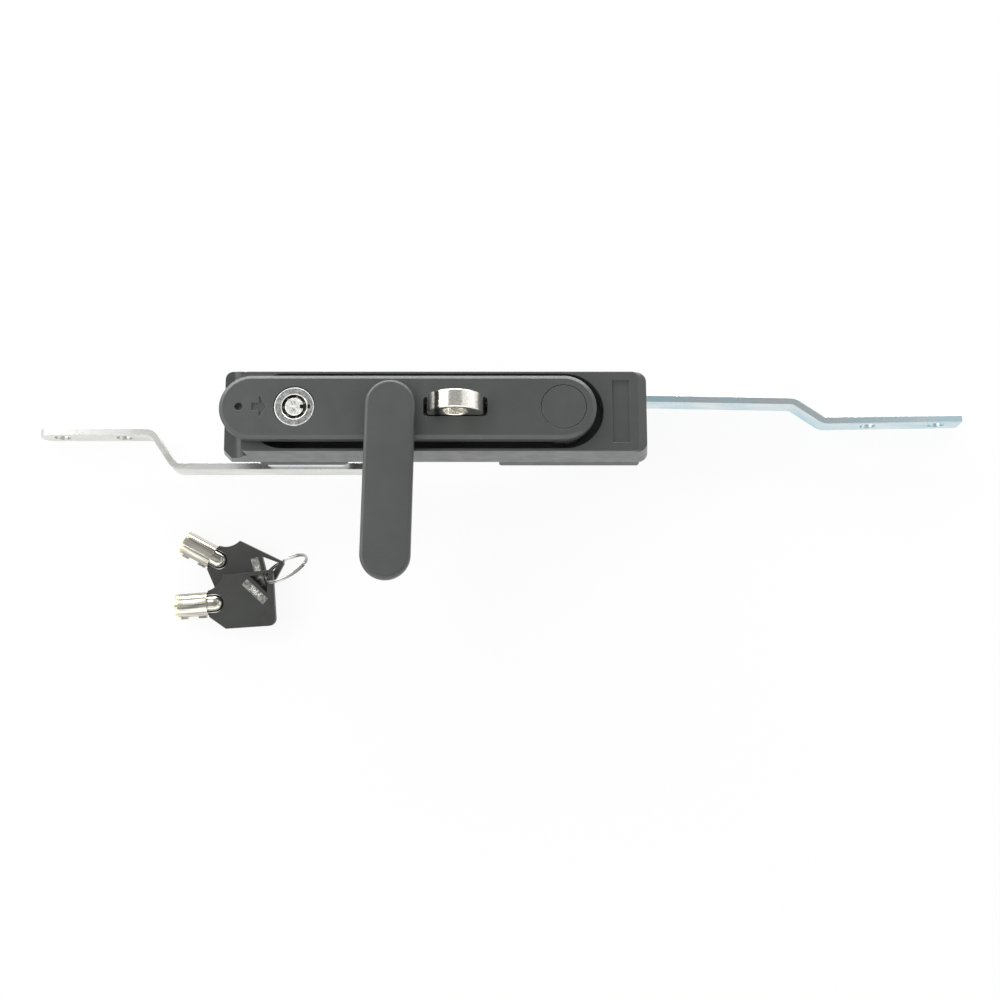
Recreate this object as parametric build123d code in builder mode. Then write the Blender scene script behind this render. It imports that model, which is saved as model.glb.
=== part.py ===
from build123d import *
import math
import os

# Swing handle lock for a cabinet door with two locking rods, in millimetres.
# The origin is the centre of the housing's back face, which lies on the door's outer skin.
# +X runs along the housing towards the pivot, +Y across it, +Z out of the door.

os.makedirs("parts", exist_ok=True)

# ---- Fits and gaps ---------------------------------------------------------------------------
running_gap = 0.05      # radial clearance of a pin or shaft that turns
seat_gap = 0.05         # radial clearance of screws and of fixed round pieces
slide_gap = 0.3         # between two bodies that pass each other
flush_drop = 0.05       # flush pieces lie this much below the face they are set in
joint_depth = 0.5       # how far two volumes of one body run into each other
beyond = 1.0            # how far a cut goes past the body it opens

# ---- Housing ---------------------------------------------------------------------------------
housing_width = 33.5
housing_height = 18.5
housing_right = 86.1    # where the right end's face meets the sloped band
lip_reach = 87.9        # how far the finger lip lies to the left of the origin
floor_thickness = 4.8
floor_skin = 0.8        # left under the screw holes in the floor
rim_wall = 1.1
lip_length = 9.8        # of the finger lip, from the left end to the pocket's wall
lip_height = 6.9        # of the finger lip's surface at its lower long side
lip_slope = 17.9        # degrees by which that surface rises across the housing
lip_curve = 4.0         # the lip curves up into the wall with this radius
lip_corner = 3.2
lip_round = 3.0
lip_draft = 8.0         # degrees by which the left end's face leans back
rim_corner = 2.0
right_draft = 5.5       # degrees by which the right end's face leans back
right_corner = 4.0
top_corner = 3.0        # of the top face, inside the sloped band
right_end_slope = 3.4   # the sloped band at the right end runs this far
right_end_drop = 1.4    # and falls this much
rim_round = 0.4
pocket_radius = housing_width / 2 - rim_wall
plaque_x = 72.1
plaque_length = 7.1
plaque_width = 26.2
plaque_depth = 0.6
plaque_corner = 0.5

# ---- Pivot -----------------------------------------------------------------------------------
pivot_x = 52.2
pocket_shift = 0.7      # the pocket's right end is centred this much beyond the pivot
pin_height = 18.0
pin_radius = 2.0
cheek_radius = 3.6
cheek_thickness = 4.0
lug_width = 8.0
disc_radius = 11.5
disc_thickness = 3.2
disc_chamfer = 0.6
pin_chamfer = 0.3
cheek_room = 1.9        # in the handle, beyond the cheeks at each end
cheek_room_above = 0.6
seal_inset = 0.3
seal_thickness = 0.8
seal_width = 2.8
journal_radius = 8.0
journal_depth = 3.0     # below the housing's back face
shaft_radius = 5.0

# ---- Handle ----------------------------------------------------------------------------------
handle_face = 25.0
handle_thickness = 5.2
handle_width = 26.4
handle_tip_inset = 1.4  # the handle's tip stands this far inside the housing's left end
handle_chamfer_side = 1.5
handle_chamfer_depth = 1.2
tip_thinning = 0.7
tip_thinning_length = 26.0
cap_radius = 9.2
cap_seat_depth = 1.4
cap_chamfer = 0.35
detent_x = -78.4
detent_radius = 1.6
detent_depth = 2.0
arrow_x = -70.2
arrow_length = 6.0
arrow_width = 9.0
arrow_shaft_width = 3.0
arrow_depth = 0.5
rib_height = 3.0
rib_thickness = 2.0
rib_offset = 9.0
rib_start_x = -42.0
rib_end_x = 38.0

# ---- Tubular lock in the handle --------------------------------------------------------------
lock_x = -56.1
lock_head_radius = 8.1
lock_head_thickness = 1.4
lock_head_bevel = 0.5
lock_recess_gap = 0.35
lock_body_radius = 6.3
lock_body_end = 11.5
boss_radius = 9.3
boss_end = 15.0
nut_thickness = 2.8
nut_across_flats = 15.0
keyway_radius = 5.0
post_radius = 3.7
keyway_depth = 2.0
notch_width = 1.85
notch_reach = 6.5
notch_depth = 0.9
post_notch_start = 2.3
post_chamfer = 0.25
lock_pin_radius = 0.55
lock_pin_gap = 0.02
lock_pin_count = 7
lock_pin_rise = 0.5
lock_pin_length = 5.0
index_line_width = 0.35
index_line_depth = 0.15
index_line_shift = 0.3
cam_thickness = 2.0
cam_width = 8.0
cam_reach = 13.4
cam_square = 5.0
cam_square_gap = 0.2    # the plug's square ends this much short of the cam's far face
cam_hub = 1.2           # how far the hub stands out beyond the cam's arm
cam_screw_depth = 6.0
cam_screw_head_radius = 3.6
cam_screw_head_height = 1.8
keeper_inner = 11.2
keeper_length = 14.0
keeper_thickness = 2.2
keeper_above_cam = 0.8

# ---- Padlock eye -----------------------------------------------------------------------------
eye_x = 8.6
eye_radius = 11.3
eye_thickness = 7.4
eye_top = 38.2
eye_hole_radius = 5.3
eye_edge_round = 0.7
eye_foot_width = 13.0
eye_foot_thickness = 2.6
eye_foot_corner = 2.0
eye_screw_head_radius = 3.2
eye_screw_head_height = 2.0
eye_screw_inset = 0.6     # between a screw's head and the eye, and beyond the head
slot_length = 25.8
slot_corner = 1.4

# ---- Dust cover ------------------------------------------------------------------------------
cover_x = -17.4
cover_radius = 10.0
cover_reach = 60.8      # from the pivot to the centre of the free end
cover_thickness = 4.5
cover_round = 1.5
cover_chamfer = 0.4
cover_lean = 1.0        # degrees short of square to the handle, at rest
stud_radius = 3.0
stud_head_radius = 4.6
stud_head_depth = 1.8
stud_head_recess = 0.4  # between the handle's side of the cover and the head
stud_head_gap = 0.02
stud_chamfer = 0.4
spring_washer_radius = 6.0
spring_washer_thickness = 1.1
clip_radius = 5.0
clip_thickness = 1.0
groove_depth = 0.7
stud_tail = 1.0
nub_height = 0.2

# ---- Clamp behind the left end ---------------------------------------------------------------
clamp_inset = 14.4      # from the housing's left end to the clamp
clamp_length = 37.5
clamp_pad_thickness = 5.0
clamp_plate_thickness = 3.0
clamp_end_slope = 2.2
clamp_screw_inset = 8.0
clamp_plate_corner = 1.5

# ---- Gear case behind the pivot --------------------------------------------------------------
case_reach_left = 26.1  # the collar's reach to each side of the pivot
case_reach_right = 32.4
collar_thickness = 6.0
case_screw_inset = 5.0
body_left = 15.5        # the case body's reach to each side of the pivot
body_right = 14.3
body_inset = 0.35       # the body's sides stand in from the backs of the racks
case_corner = 1.0
case_cover_thickness = 1.2
wing_start = -14.0
wing_end = 2.0
wing_thickness = 1.2
wing_rise = 12.0
cover_screw_inset = 3.1
cover_screw_depth = 6.0

# ---- Pinion and racks ------------------------------------------------------------------------
gear_module = 0.8
pinion_teeth = 16
pressure_angle = 20.0
backlash = 0.16
pinion_addendum = 0.7
tooth_dedendum = 1.05
rack_addendum = 0.6
pinion_bore = 3.0
pinion_washer_thickness = 1.0
pinion_screw_depth = 9.0
pinion_screw_head_radius = 2.8
pinion_screw_head_height = 1.6
rack_thickness = 3.1    # behind the roots of its teeth
rack_height = 5.85
rack_drop = 0.65        # how far the racks lie behind the rods' front edges
left_rack_end = -26.0
left_teeth_from = -15.1
left_teeth_to = 5.1
right_teeth_from = -5.1
right_teeth_to = 13.1

# ---- Rods ------------------------------------------------------------------------------------
rod_thickness = 2.8
rod_height = 10.5
rod_top = -14.5
rod_offset = 14.95      # the rods run this far to each side of the pinion's centre
rod_bend_radius = 5.0
rod_end_round = 4.0
rod_hole_radius = 3.4
left_hole_inset = 9.0
left_hole_spacing = 26.7
right_hole_inset = 10.1
right_hole_spacing = 29.3
lap_length = 13.5
joggle_length = 4.5
right_joggle_x = 152.6
right_joggle_run = 12.5
right_joggle_y = 13.7
right_level_y = 5.1     # where the end piece starts
right_end_x = 224.2
right_end_y = 6.0
left_joggle_x = -111.8
left_joggle_run = 10.5
left_end_x = -170.5
left_end_y = 0.2
rivet_radius = 1.5
rivet_head_radius = 2.4
rivet_head_height = 1.0
rivet_head_round = 0.6
rivet_spacing = 6.5
rivet_inset = 4.2       # from the bend at the rack's end to the first rivet

# ---- Screws ----------------------------------------------------------------------------------
small_screw = 1.5       # shank radii
medium_screw = 2.0
large_screw = 2.5
large_head_radius = 4.2
large_head_height = 3.0
small_head_radius = 2.6
small_head_height = 1.4
screw_end_gap = 0.4     # between a screw's end and the end of its blind hole
socket_share = 0.5      # a socket's radius, as a share of its head's
socket_depth_share = 0.6

# ---- Keys, lying loose on the ground ---------------------------------------------------------
ground_z = -25.2
key_radius = 4.95
key_bore_radius = 3.78
key_bore_depth = 9.0
key_barrel_length = 13.5
key_nose_radius = 3.6    # the domed end inside the bow is slimmer than the barrel
key_length = 19.8
key_lug_width = 2.0
key_lug_height = 0.9
key_lug_start = 1.4
key_lug_length = 3.0
second_lug_start = 9.0
second_lug_length = 3.4
key_cut_width = 1.3
key_cut_depth = 1.1
key_cut_count = 7
bow_thickness = 2.6
bow_socket_gap = 0.25
bow_start = 13.6        # distances along the key from its tip
bow_slant = 20.4        # where the bow has its full width
bow_end = 41.6
bow_top = 12.4
bow_bottom = -10.9
bow_taper = 0.9         # the upper edge falls this much towards the shank
bow_large_corner = 3.0
bow_small_corner = 1.0
bow_neck_radius = 9.0
bow_shoulder = 0.55      # the bow stands this much beyond the barrel where it starts
ring_hole_left = 31.9   # the ring's hole is a triangle
ring_hole_low_corner = 10.2
ring_hole_right = 39.7
ring_hole_top = 11.3
ring_hole_tip_x = 38.7
ring_hole_tip_y = 2.8
tag_x = 33.6
tag_y = 3.7
tag_length = 12.0
tag_width = 3.2
tag_thickness = 0.6
tag_angle = -46.0
upper_key_x = -106.6    # the keys' tips
upper_key_y = -46.7
upper_key_angle = -28.3
upper_key_rise = -1.85
upper_key_roll = 11.97
lower_key_x = -108.9
lower_key_y = -74.0
lower_key_angle = 3.2
lower_key_rise = 5.17
lower_key_roll = 9.13
ring_radius = 9.7
ring_wire = 0.9
ring_width = 1.6
ring_edge_round = 0.25
ring_x = -62.94
ring_y = -59.15
ring_z = -13.52
ring_tilt = 57.7        # degrees between the ring's axis and the vertical
ring_turn = 120.0       # and from +X to that axis, seen from above

# ---- Values worked out from the sizes above --------------------------------------------------
end_wall_x = lip_length - lip_reach
clamp_left = clamp_inset - lip_reach
clamp_right = clamp_left + clamp_length
case_left = pivot_x - case_reach_left
case_right = pivot_x + case_reach_right
handle_tip_x = handle_tip_inset - lip_reach
handle_under = handle_face - handle_thickness
handle_half = handle_width / 2
handle_tip_centre = handle_tip_x + handle_half
pocket_left_centre = end_wall_x + rim_wall + pocket_radius
pocket_right_centre = pivot_x + pocket_shift
lock_head_top = handle_face - flush_drop
lock_recess_floor = lock_head_top - lock_head_thickness
keyway_floor = handle_face - keyway_depth
cam_top = lock_body_end - slide_gap
cam_bottom = cam_top - cam_thickness
keeper_bottom = cam_top + keeper_above_cam
seal_top = floor_thickness + seal_thickness
disc_top = seal_top + disc_thickness
eye_centre_z = eye_top - eye_radius
eye_hole_z = handle_face + slide_gap + eye_hole_radius
slot_width = eye_thickness + 2 * slide_gap
eye_screw_spacing = 2 * (eye_radius + eye_screw_head_radius + eye_screw_inset)
eye_foot_length = eye_screw_spacing + 2 * (eye_screw_head_radius + eye_screw_inset)
cover_under = handle_face + slide_gap
pitch_radius = gear_module * pinion_teeth / 2
rack_root = pitch_radius + tooth_dedendum
rack_back = rack_root + rack_thickness
body_width = 2 * (rack_back - body_inset)
rack_top = rod_top - rack_drop
channel_top = rack_top + slide_gap
case_bottom = rack_top - rack_height - slide_gap
channel_inner = pitch_radius - rack_addendum - slide_gap
cover_bottom = case_bottom - case_cover_thickness
lap_y = rack_back + rod_thickness / 2
rod_middle_z = rod_top - rod_height / 2
rivet_z = rack_top - rack_height / 2


def screws(plane, places, shank_radius, shank_length, head_radius, head_height):
    """Socket-head screws: the heads stand on the plane and the shanks go back behind it."""
    with BuildPart() as group:
        with BuildSketch(plane):
            with Locations(*places):
                Circle(shank_radius)
        extrude(amount=-shank_length)
        with BuildSketch(plane):
            with Locations(*places):
                Circle(head_radius)
        extrude(amount=head_height)
        with BuildSketch(plane.offset(head_height)):
            with Locations(*places):
                RegularPolygon(head_radius * socket_share, 6)
        extrude(amount=-head_height * socket_depth_share, mode=Mode.SUBTRACT)
    return group.part


# ---- Places shared by several pieces ---------------------------------------------------------
clamp_screw_places = [(clamp_left + clamp_screw_inset, 0), (clamp_right - clamp_screw_inset, 0)]
case_screw_places = [(case_left + case_screw_inset, 0), (case_right - case_screw_inset, 0)]
eye_screw_places = [(eye_x - eye_screw_spacing / 2, 0), (eye_x + eye_screw_spacing / 2, 0)]
case_cover_screw_places = [
    (pivot_x - body_left + cover_screw_inset, 0),
    (pivot_x + body_right - cover_screw_inset, 0),
]


def facing_back(height):
    """A plane at a height that faces backwards, for the screws put in from behind."""
    return Plane(origin=(0, 0, height), x_dir=(1, 0, 0), z_dir=(0, 0, -1))


# ---- Housing ---------------------------------------------------------------------------------
housing_screw_depth = floor_thickness - floor_skin
band_foot = housing_height - right_end_drop
lip_angle = math.radians(lip_slope)
lip_level = lip_height * math.cos(lip_angle)
lip_plane = Plane(
    origin=(0, -housing_width / 2, 0),
    x_dir=(1, 0, 0),
    z_dir=(0, -math.cos(lip_angle), -math.sin(lip_angle)),
)
with BuildPart() as housing:
    with BuildSketch(Plane.XY):
        with Locations((-lip_reach / 2, 0)):
            Rectangle(lip_reach, housing_width)
    extrude(amount=housing_height)
    # The right end's face leans back, under a sloped band that runs round the corners
    for height, reach, corner in (
        (0, housing_right + band_foot * math.tan(math.radians(right_draft)), right_corner),
        (band_foot, housing_right, right_corner),
        (housing_height, housing_right - right_end_slope, top_corner),
    ):
        with BuildSketch(Plane.XY.offset(height)) as outline:
            with Locations((reach / 2, 0)):
                Rectangle(reach, housing_width)
            fillet(outline.vertices().group_by(Axis.X)[-1], corner)
    loft(ruled=True)
    # The left end's face leans back, with one corner cut off and the other rounded
    with BuildSketch(Plane.XZ.offset(-housing_width)):
        with BuildLine():
            Polyline(
                (-lip_reach, 0),
                (-lip_reach + housing_height * math.tan(math.radians(lip_draft)), housing_height),
                (-lip_reach - beyond, housing_height),
                (-lip_reach - beyond, 0),
                close=True,
            )
        make_face()
    extrude(amount=2 * housing_width, mode=Mode.SUBTRACT)
    chamfer(housing.faces().sort_by(Axis.X)[0].edges().sort_by(Axis.Y)[0], lip_corner)
    fillet(housing.faces().sort_by(Axis.X)[0].edges().sort_by(Axis.Y)[-1], lip_round)
    # A small round along the top's long outer edges
    fillet(housing.edges().filter_by(Axis.X).group_by(Axis.Z)[-1], rim_round)
    # The pocket that the handle lies in
    with BuildSketch(Plane.XY.offset(floor_thickness)):
        with Locations(((pocket_left_centre + pocket_right_centre) / 2, 0)):
            SlotCenterToCenter(pocket_right_centre - pocket_left_centre, 2 * pocket_radius)
    extrude(amount=housing_height, mode=Mode.SUBTRACT)
    # The lip where a finger gets under the handle's tip
    with BuildSketch(lip_plane):
        with BuildLine():
            Polyline(
                (end_wall_x, lip_level + lip_curve),
                (end_wall_x, 2 * housing_height),
                (-lip_reach - beyond, 2 * housing_height),
                (-lip_reach - beyond, lip_level),
                (end_wall_x - lip_curve, lip_level),
            )
            RadiusArc((end_wall_x - lip_curve, lip_level), (end_wall_x, lip_level + lip_curve), -lip_curve)
        make_face()
    extrude(amount=2 * housing_width, both=True, mode=Mode.SUBTRACT)
    # The rim's rounded corners above the lip
    for side, start in ((-1, lip_height + lip_curve), (1, lip_height + housing_width * math.tan(lip_angle))):
        with BuildSketch(Plane.XY.offset(start)):
            with Locations((end_wall_x + rim_corner / 2, side * (housing_width - rim_corner) / 2)):
                Rectangle(rim_corner, rim_corner)
            with Locations((end_wall_x + rim_corner, side * (housing_width / 2 - rim_corner))):
                Circle(rim_corner, mode=Mode.SUBTRACT)
        extrude(amount=housing_height, mode=Mode.SUBTRACT)
    # The shallow blank plaque beside the pivot
    with BuildSketch(Plane.XY.offset(housing_height)):
        with Locations((plaque_x + plaque_length / 2, 0)):
            RectangleRounded(plaque_length, plaque_width, plaque_corner)
    extrude(amount=-plaque_depth, mode=Mode.SUBTRACT)
    # The ledge that the lock's cam turns under
    with BuildSketch(Plane.XY.offset(keeper_bottom)):
        with Locations((lock_x, (keeper_inner + pocket_radius + rim_wall / 2) / 2)):
            Rectangle(keeper_length, pocket_radius + rim_wall / 2 - keeper_inner)
    extrude(amount=keeper_thickness)
    # The drum's bore and the threaded holes for the screws from behind and from the pocket
    with Locations((pivot_x, 0, floor_thickness)):
        Hole(journal_radius + running_gap)
    with BuildSketch(Plane.XY):
        with Locations(*clamp_screw_places):
            Circle(large_screw + seat_gap)
        with Locations(*case_screw_places):
            Circle(large_screw + seat_gap)
    extrude(amount=housing_screw_depth, mode=Mode.SUBTRACT)
    with BuildSketch(Plane.XY.offset(floor_thickness)):
        with Locations(*eye_screw_places):
            Circle(medium_screw + seat_gap)
    extrude(amount=-housing_screw_depth, mode=Mode.SUBTRACT)
housing.part.label = "housing"
export_step(housing.part, "parts/housing.step")

# ---- Padlock eye, screwed to the pocket's floor ------------------------------------------------
foot_top = floor_thickness + eye_foot_thickness
with BuildPart() as padlock_eye:
    with BuildSketch(Plane.XZ.offset(-eye_thickness / 2)):
        with Locations((eye_x, (floor_thickness + eye_centre_z) / 2)):
            Rectangle(2 * eye_radius, eye_centre_z - floor_thickness)
        with Locations((eye_x, eye_centre_z)):
            Circle(eye_radius)
        with Locations((eye_x, eye_hole_z)):
            Circle(eye_hole_radius, mode=Mode.SUBTRACT)
    extrude(amount=eye_thickness)
    rims = padlock_eye.faces().filter_by(Axis.Y).edges().filter_by(GeomType.CIRCLE)
    fillet(rims, eye_edge_round)
    with BuildSketch(Plane.XY.offset(floor_thickness)):
        with Locations((eye_x, 0)):
            RectangleRounded(eye_foot_length, eye_foot_width, eye_foot_corner)
    extrude(amount=eye_foot_thickness)
    with BuildSketch(Plane.XY.offset(foot_top)):
        with Locations(*eye_screw_places):
            Circle(medium_screw + seat_gap)
    extrude(amount=-eye_foot_thickness, mode=Mode.SUBTRACT)
padlock_eye.part.label = "padlock_eye"
export_step(padlock_eye.part, "parts/padlock_eye.step")

eye_screws = screws(Plane.XY.offset(foot_top), eye_screw_places, medium_screw,
                    eye_foot_thickness + housing_screw_depth - screw_end_gap,
                    eye_screw_head_radius, eye_screw_head_height)
eye_screws.label = "eye_screws"
export_step(eye_screws, "parts/eye_screws.step")

# ---- Drum: disc, fork, journal and drive shaft -------------------------------------------------
fork_width = lug_width + 2 * slide_gap
with BuildPart() as drive_drum:
    with BuildSketch(Plane.XY.offset(seal_top)):
        with Locations((pivot_x, 0)):
            Circle(disc_radius)
    extrude(amount=disc_thickness)
    chamfer(drive_drum.edges().group_by(Axis.Z)[-1], disc_chamfer)
    # The two cheeks that hold the hinge pin
    with BuildSketch(Plane.XZ.offset(-fork_width / 2 - cheek_thickness)):
        with Locations((pivot_x, pin_height)):
            Circle(cheek_radius)
        with Locations((pivot_x, (seal_top + pin_height) / 2)):
            Rectangle(2 * cheek_radius, pin_height - seal_top)
    extrude(amount=fork_width + 2 * cheek_thickness)
    with BuildSketch(Plane.XY.offset(pin_height - cheek_radius - 2 * slide_gap)):
        with Locations((pivot_x, 0)):
            Rectangle(4 * cheek_radius, fork_width)
    extrude(amount=2 * cheek_radius + handle_thickness, mode=Mode.SUBTRACT)
    with BuildSketch(Plane.XZ.offset(-housing_width / 2)):
        with Locations((pivot_x, pin_height)):
            Circle(pin_radius)
    extrude(amount=housing_width, mode=Mode.SUBTRACT)
    # The journal in the housing, the shaft in the gear case and the pinion's seat
    with BuildSketch(Plane.XY.offset(seal_top)):
        with Locations((pivot_x, 0)):
            Circle(journal_radius)
    extrude(amount=-seal_top - journal_depth)
    with BuildSketch(Plane.XY.offset(-journal_depth)):
        with Locations((pivot_x, 0)):
            Circle(shaft_radius)
    extrude(amount=channel_top + journal_depth)
    with BuildSketch(Plane.XY.offset(channel_top)):
        with Locations((pivot_x, 0)):
            Circle(pinion_bore)
    extrude(amount=case_bottom - channel_top)
    with BuildSketch(Plane.XY.offset(case_bottom)):
        with Locations((pivot_x, 0)):
            Circle(small_screw + seat_gap)
    extrude(amount=pinion_screw_depth, mode=Mode.SUBTRACT)
drive_drum.part.label = "drive_drum"
export_step(drive_drum.part, "parts/drive_drum.step")

with BuildPart() as drum_seal:
    with BuildSketch(Plane.XY.offset(floor_thickness)):
        with Locations((pivot_x, 0)):
            Circle(disc_radius - seal_inset)
            Circle(disc_radius - seal_inset - seal_width, mode=Mode.SUBTRACT)
    extrude(amount=seal_thickness)
drum_seal.part.label = "drum_seal"
export_step(drum_seal.part, "parts/drum_seal.step")

pin_length = fork_width + 2 * cheek_thickness
with BuildPart() as hinge_pin:
    with BuildSketch(Plane.XZ.offset(-pin_length / 2)):
        with Locations((pivot_x, pin_height)):
            Circle(pin_radius)
    extrude(amount=pin_length)
    chamfer(hinge_pin.edges().filter_by(GeomType.CIRCLE), pin_chamfer)
hinge_pin.part.label = "hinge_pin"
export_step(hinge_pin.part, "parts/hinge_pin.step")

# ---- Handle ------------------------------------------------------------------------------------
cap_seat_floor = handle_face - cap_seat_depth
with BuildPart() as handle:
    with BuildSketch(Plane.XY.offset(handle_under)):
        with Locations(((handle_tip_centre + pivot_x) / 2, 0)):
            SlotCenterToCenter(pivot_x - handle_tip_centre, handle_width)
    extrude(amount=handle_thickness)
    top_edges = handle.faces().sort_by(Axis.Z)[-1].edges()
    top_face = handle.faces().sort_by(Axis.Z)[-1]
    chamfer(top_edges, length=handle_chamfer_side, length2=handle_chamfer_depth, reference=top_face)
    # The tip thins from below
    with BuildSketch(Plane.XZ.offset(-housing_width / 2)):
        with BuildLine():
            Polyline(
                (handle_tip_x + tip_thinning_length, handle_under),
                (handle_tip_x - beyond, handle_under + tip_thinning),
                (handle_tip_x - beyond, handle_under - beyond),
                (handle_tip_x + tip_thinning_length, handle_under - beyond),
                close=True,
            )
        make_face()
    extrude(amount=housing_width, mode=Mode.SUBTRACT)
    # The lug on the hinge pin, and room for the fork's cheeks beside it
    with BuildSketch(Plane.XZ.offset(-lug_width / 2)):
        with Locations((pivot_x, pin_height)):
            Circle(cheek_radius)
        with Locations((pivot_x, (pin_height + handle_under + joint_depth) / 2)):
            Rectangle(2 * cheek_radius, handle_under + joint_depth - pin_height)
    extrude(amount=lug_width)
    with BuildSketch(Plane.XY.offset(handle_under)):
        for side in (-1, 1):
            with Locations((pivot_x, side * (fork_width + cheek_thickness) / 2)):
                Rectangle(2 * (cheek_radius + cheek_room), cheek_thickness + 2 * slide_gap)
    extrude(amount=pin_height + cheek_radius + cheek_room_above - handle_under, mode=Mode.SUBTRACT)
    with BuildSketch(Plane.XZ.offset(-housing_width / 2)):
        with Locations((pivot_x, pin_height)):
            Circle(pin_radius + running_gap)
    extrude(amount=housing_width, mode=Mode.SUBTRACT)
    # The boss that carries the lock, and the lock's recess and bore
    with BuildSketch(Plane.XY.offset(boss_end)):
        with Locations((lock_x, 0)):
            Circle(boss_radius)
    extrude(amount=handle_under + joint_depth - boss_end)
    with BuildSketch(Plane.XY.offset(lock_recess_floor)):
        with Locations((lock_x, 0)):
            Circle(lock_head_radius + lock_recess_gap)
    extrude(amount=handle_thickness, mode=Mode.SUBTRACT)
    with Locations((lock_x, 0, handle_face)):
        Hole(lock_body_radius + seat_gap)
    # The slot for the padlock eye
    with BuildSketch(Plane.XY.offset(handle_under)):
        with Locations((eye_x, 0)):
            RectangleRounded(slot_length, slot_width, slot_corner)
    extrude(amount=handle_thickness, mode=Mode.SUBTRACT)
    # The pivot cap's seat, the dust cover's bore and the dimple that holds the cover shut
    with BuildSketch(Plane.XY.offset(cap_seat_floor)):
        with Locations((pivot_x, 0)):
            Circle(cap_radius + seat_gap)
    extrude(amount=handle_thickness, mode=Mode.SUBTRACT)
    with Locations((cover_x, 0, handle_face)):
        Hole(stud_radius + running_gap)
    with Locations((detent_x, 0, handle_face)):
        Hole(detent_radius, detent_depth)
    # The engraved arrow
    with BuildSketch(Plane.XY.offset(handle_face)):
        with BuildLine():
            Polyline(
                (arrow_x - arrow_length / 2, -arrow_shaft_width / 2),
                (arrow_x, -arrow_shaft_width / 2),
                (arrow_x, -arrow_width / 2),
                (arrow_x + arrow_length / 2, 0),
                (arrow_x, arrow_width / 2),
                (arrow_x, arrow_shaft_width / 2),
                (arrow_x - arrow_length / 2, arrow_shaft_width / 2),
                close=True,
            )
        make_face()
    extrude(amount=-arrow_depth, mode=Mode.SUBTRACT)
    # Two stiffening ribs
    with BuildSketch(Plane.XY.offset(handle_under - rib_height)):
        for side in (-1, 1):
            with Locations(((rib_start_x + rib_end_x) / 2, side * rib_offset)):
                Rectangle(rib_end_x - rib_start_x, rib_thickness)
    extrude(amount=rib_height + joint_depth)
handle.part.label = "handle"
export_step(handle.part, "parts/handle.step")

with BuildPart() as pivot_cap:
    with BuildSketch(Plane.XY.offset(cap_seat_floor)):
        with Locations((pivot_x, 0)):
            Circle(cap_radius)
    extrude(amount=cap_seat_depth - flush_drop)
    chamfer(pivot_cap.edges().group_by(Axis.Z)[-1], cap_chamfer)
pivot_cap.part.label = "pivot_cap"
export_step(pivot_cap.part, "parts/pivot_cap.step")

# ---- Tubular lock: barrel, nut, plug, pins, cam and its screw ------------------------------------
with BuildPart() as lock_barrel:
    with BuildSketch(Plane.XY.offset(lock_recess_floor)):
        with Locations((lock_x, 0)):
            Circle(lock_head_radius)
    extrude(amount=lock_head_thickness)
    chamfer(lock_barrel.edges().group_by(Axis.Z)[-1], lock_head_bevel)
    with BuildSketch(Plane.XY.offset(lock_body_end)):
        with Locations((lock_x, 0)):
            Circle(lock_body_radius)
    extrude(amount=lock_recess_floor - lock_body_end)
    with BuildSketch(Plane.XY.offset(lock_body_end)):
        with Locations((lock_x, 0)):
            Circle(keyway_radius)
    extrude(amount=lock_head_top - lock_body_end, mode=Mode.SUBTRACT)
    # The notch that the key's lug drops into, and the index line
    with BuildSketch(Plane.XY.offset(lock_head_top)):
        with Locations((lock_x + notch_reach / 2, 0)):
            Rectangle(notch_reach, notch_width)
    extrude(amount=-notch_depth, mode=Mode.SUBTRACT)
    with BuildSketch(Plane.XY.offset(lock_head_top)):
        with Locations((lock_x, index_line_shift - (lock_head_radius + notch_reach) / 2)):
            Rectangle(index_line_width, lock_head_radius - notch_reach)
    extrude(amount=-index_line_depth, mode=Mode.SUBTRACT)
lock_barrel.part.label = "lock_barrel"
export_step(lock_barrel.part, "parts/lock_barrel.step")

with BuildPart() as lock_nut:
    with BuildSketch(Plane.XY.offset(boss_end)):
        with Locations((lock_x, 0)):
            RegularPolygon(nut_across_flats / 2, 6, major_radius=False)
            Circle(lock_body_radius + seat_gap, mode=Mode.SUBTRACT)
    extrude(amount=-nut_thickness)
lock_nut.part.label = "lock_nut"
export_step(lock_nut.part, "parts/lock_nut.step")

lock_pin_ring = (keyway_radius + post_radius) / 2
with BuildPart() as lock_plug:
    with BuildSketch(Plane.XY.offset(cam_top)):
        with Locations((lock_x, 0)):
            Circle(keyway_radius - running_gap)
    extrude(amount=keyway_floor - cam_top)
    with BuildSketch(Plane.XY.offset(keyway_floor)):
        with Locations((lock_x, 0)):
            Circle(post_radius)
        with Locations((lock_x + post_radius, 0)):
            Rectangle(2 * (post_radius - post_notch_start), notch_width, mode=Mode.SUBTRACT)
    extrude(amount=lock_head_top - keyway_floor)
    chamfer(lock_plug.edges().group_by(Axis.Z)[-1].filter_by(GeomType.CIRCLE), post_chamfer)
    with BuildSketch(Plane.XY.offset(keyway_floor)):
        with Locations((lock_x, 0)):
            with PolarLocations(lock_pin_ring, lock_pin_count, start_angle=180 / lock_pin_count):
                Circle(lock_pin_radius)
    extrude(amount=lock_pin_rise - lock_pin_length, mode=Mode.SUBTRACT)
    with BuildSketch(Plane.XY.offset(cam_top)):
        with Locations((lock_x, 0)):
            Rectangle(cam_square, cam_square)
    extrude(amount=cam_square_gap - cam_thickness)
    with BuildSketch(Plane.XY.offset(cam_bottom)):
        with Locations((lock_x, 0)):
            Circle(small_screw + seat_gap)
    extrude(amount=cam_screw_depth, mode=Mode.SUBTRACT)
lock_plug.part.label = "lock_plug"
export_step(lock_plug.part, "parts/lock_plug.step")

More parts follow.
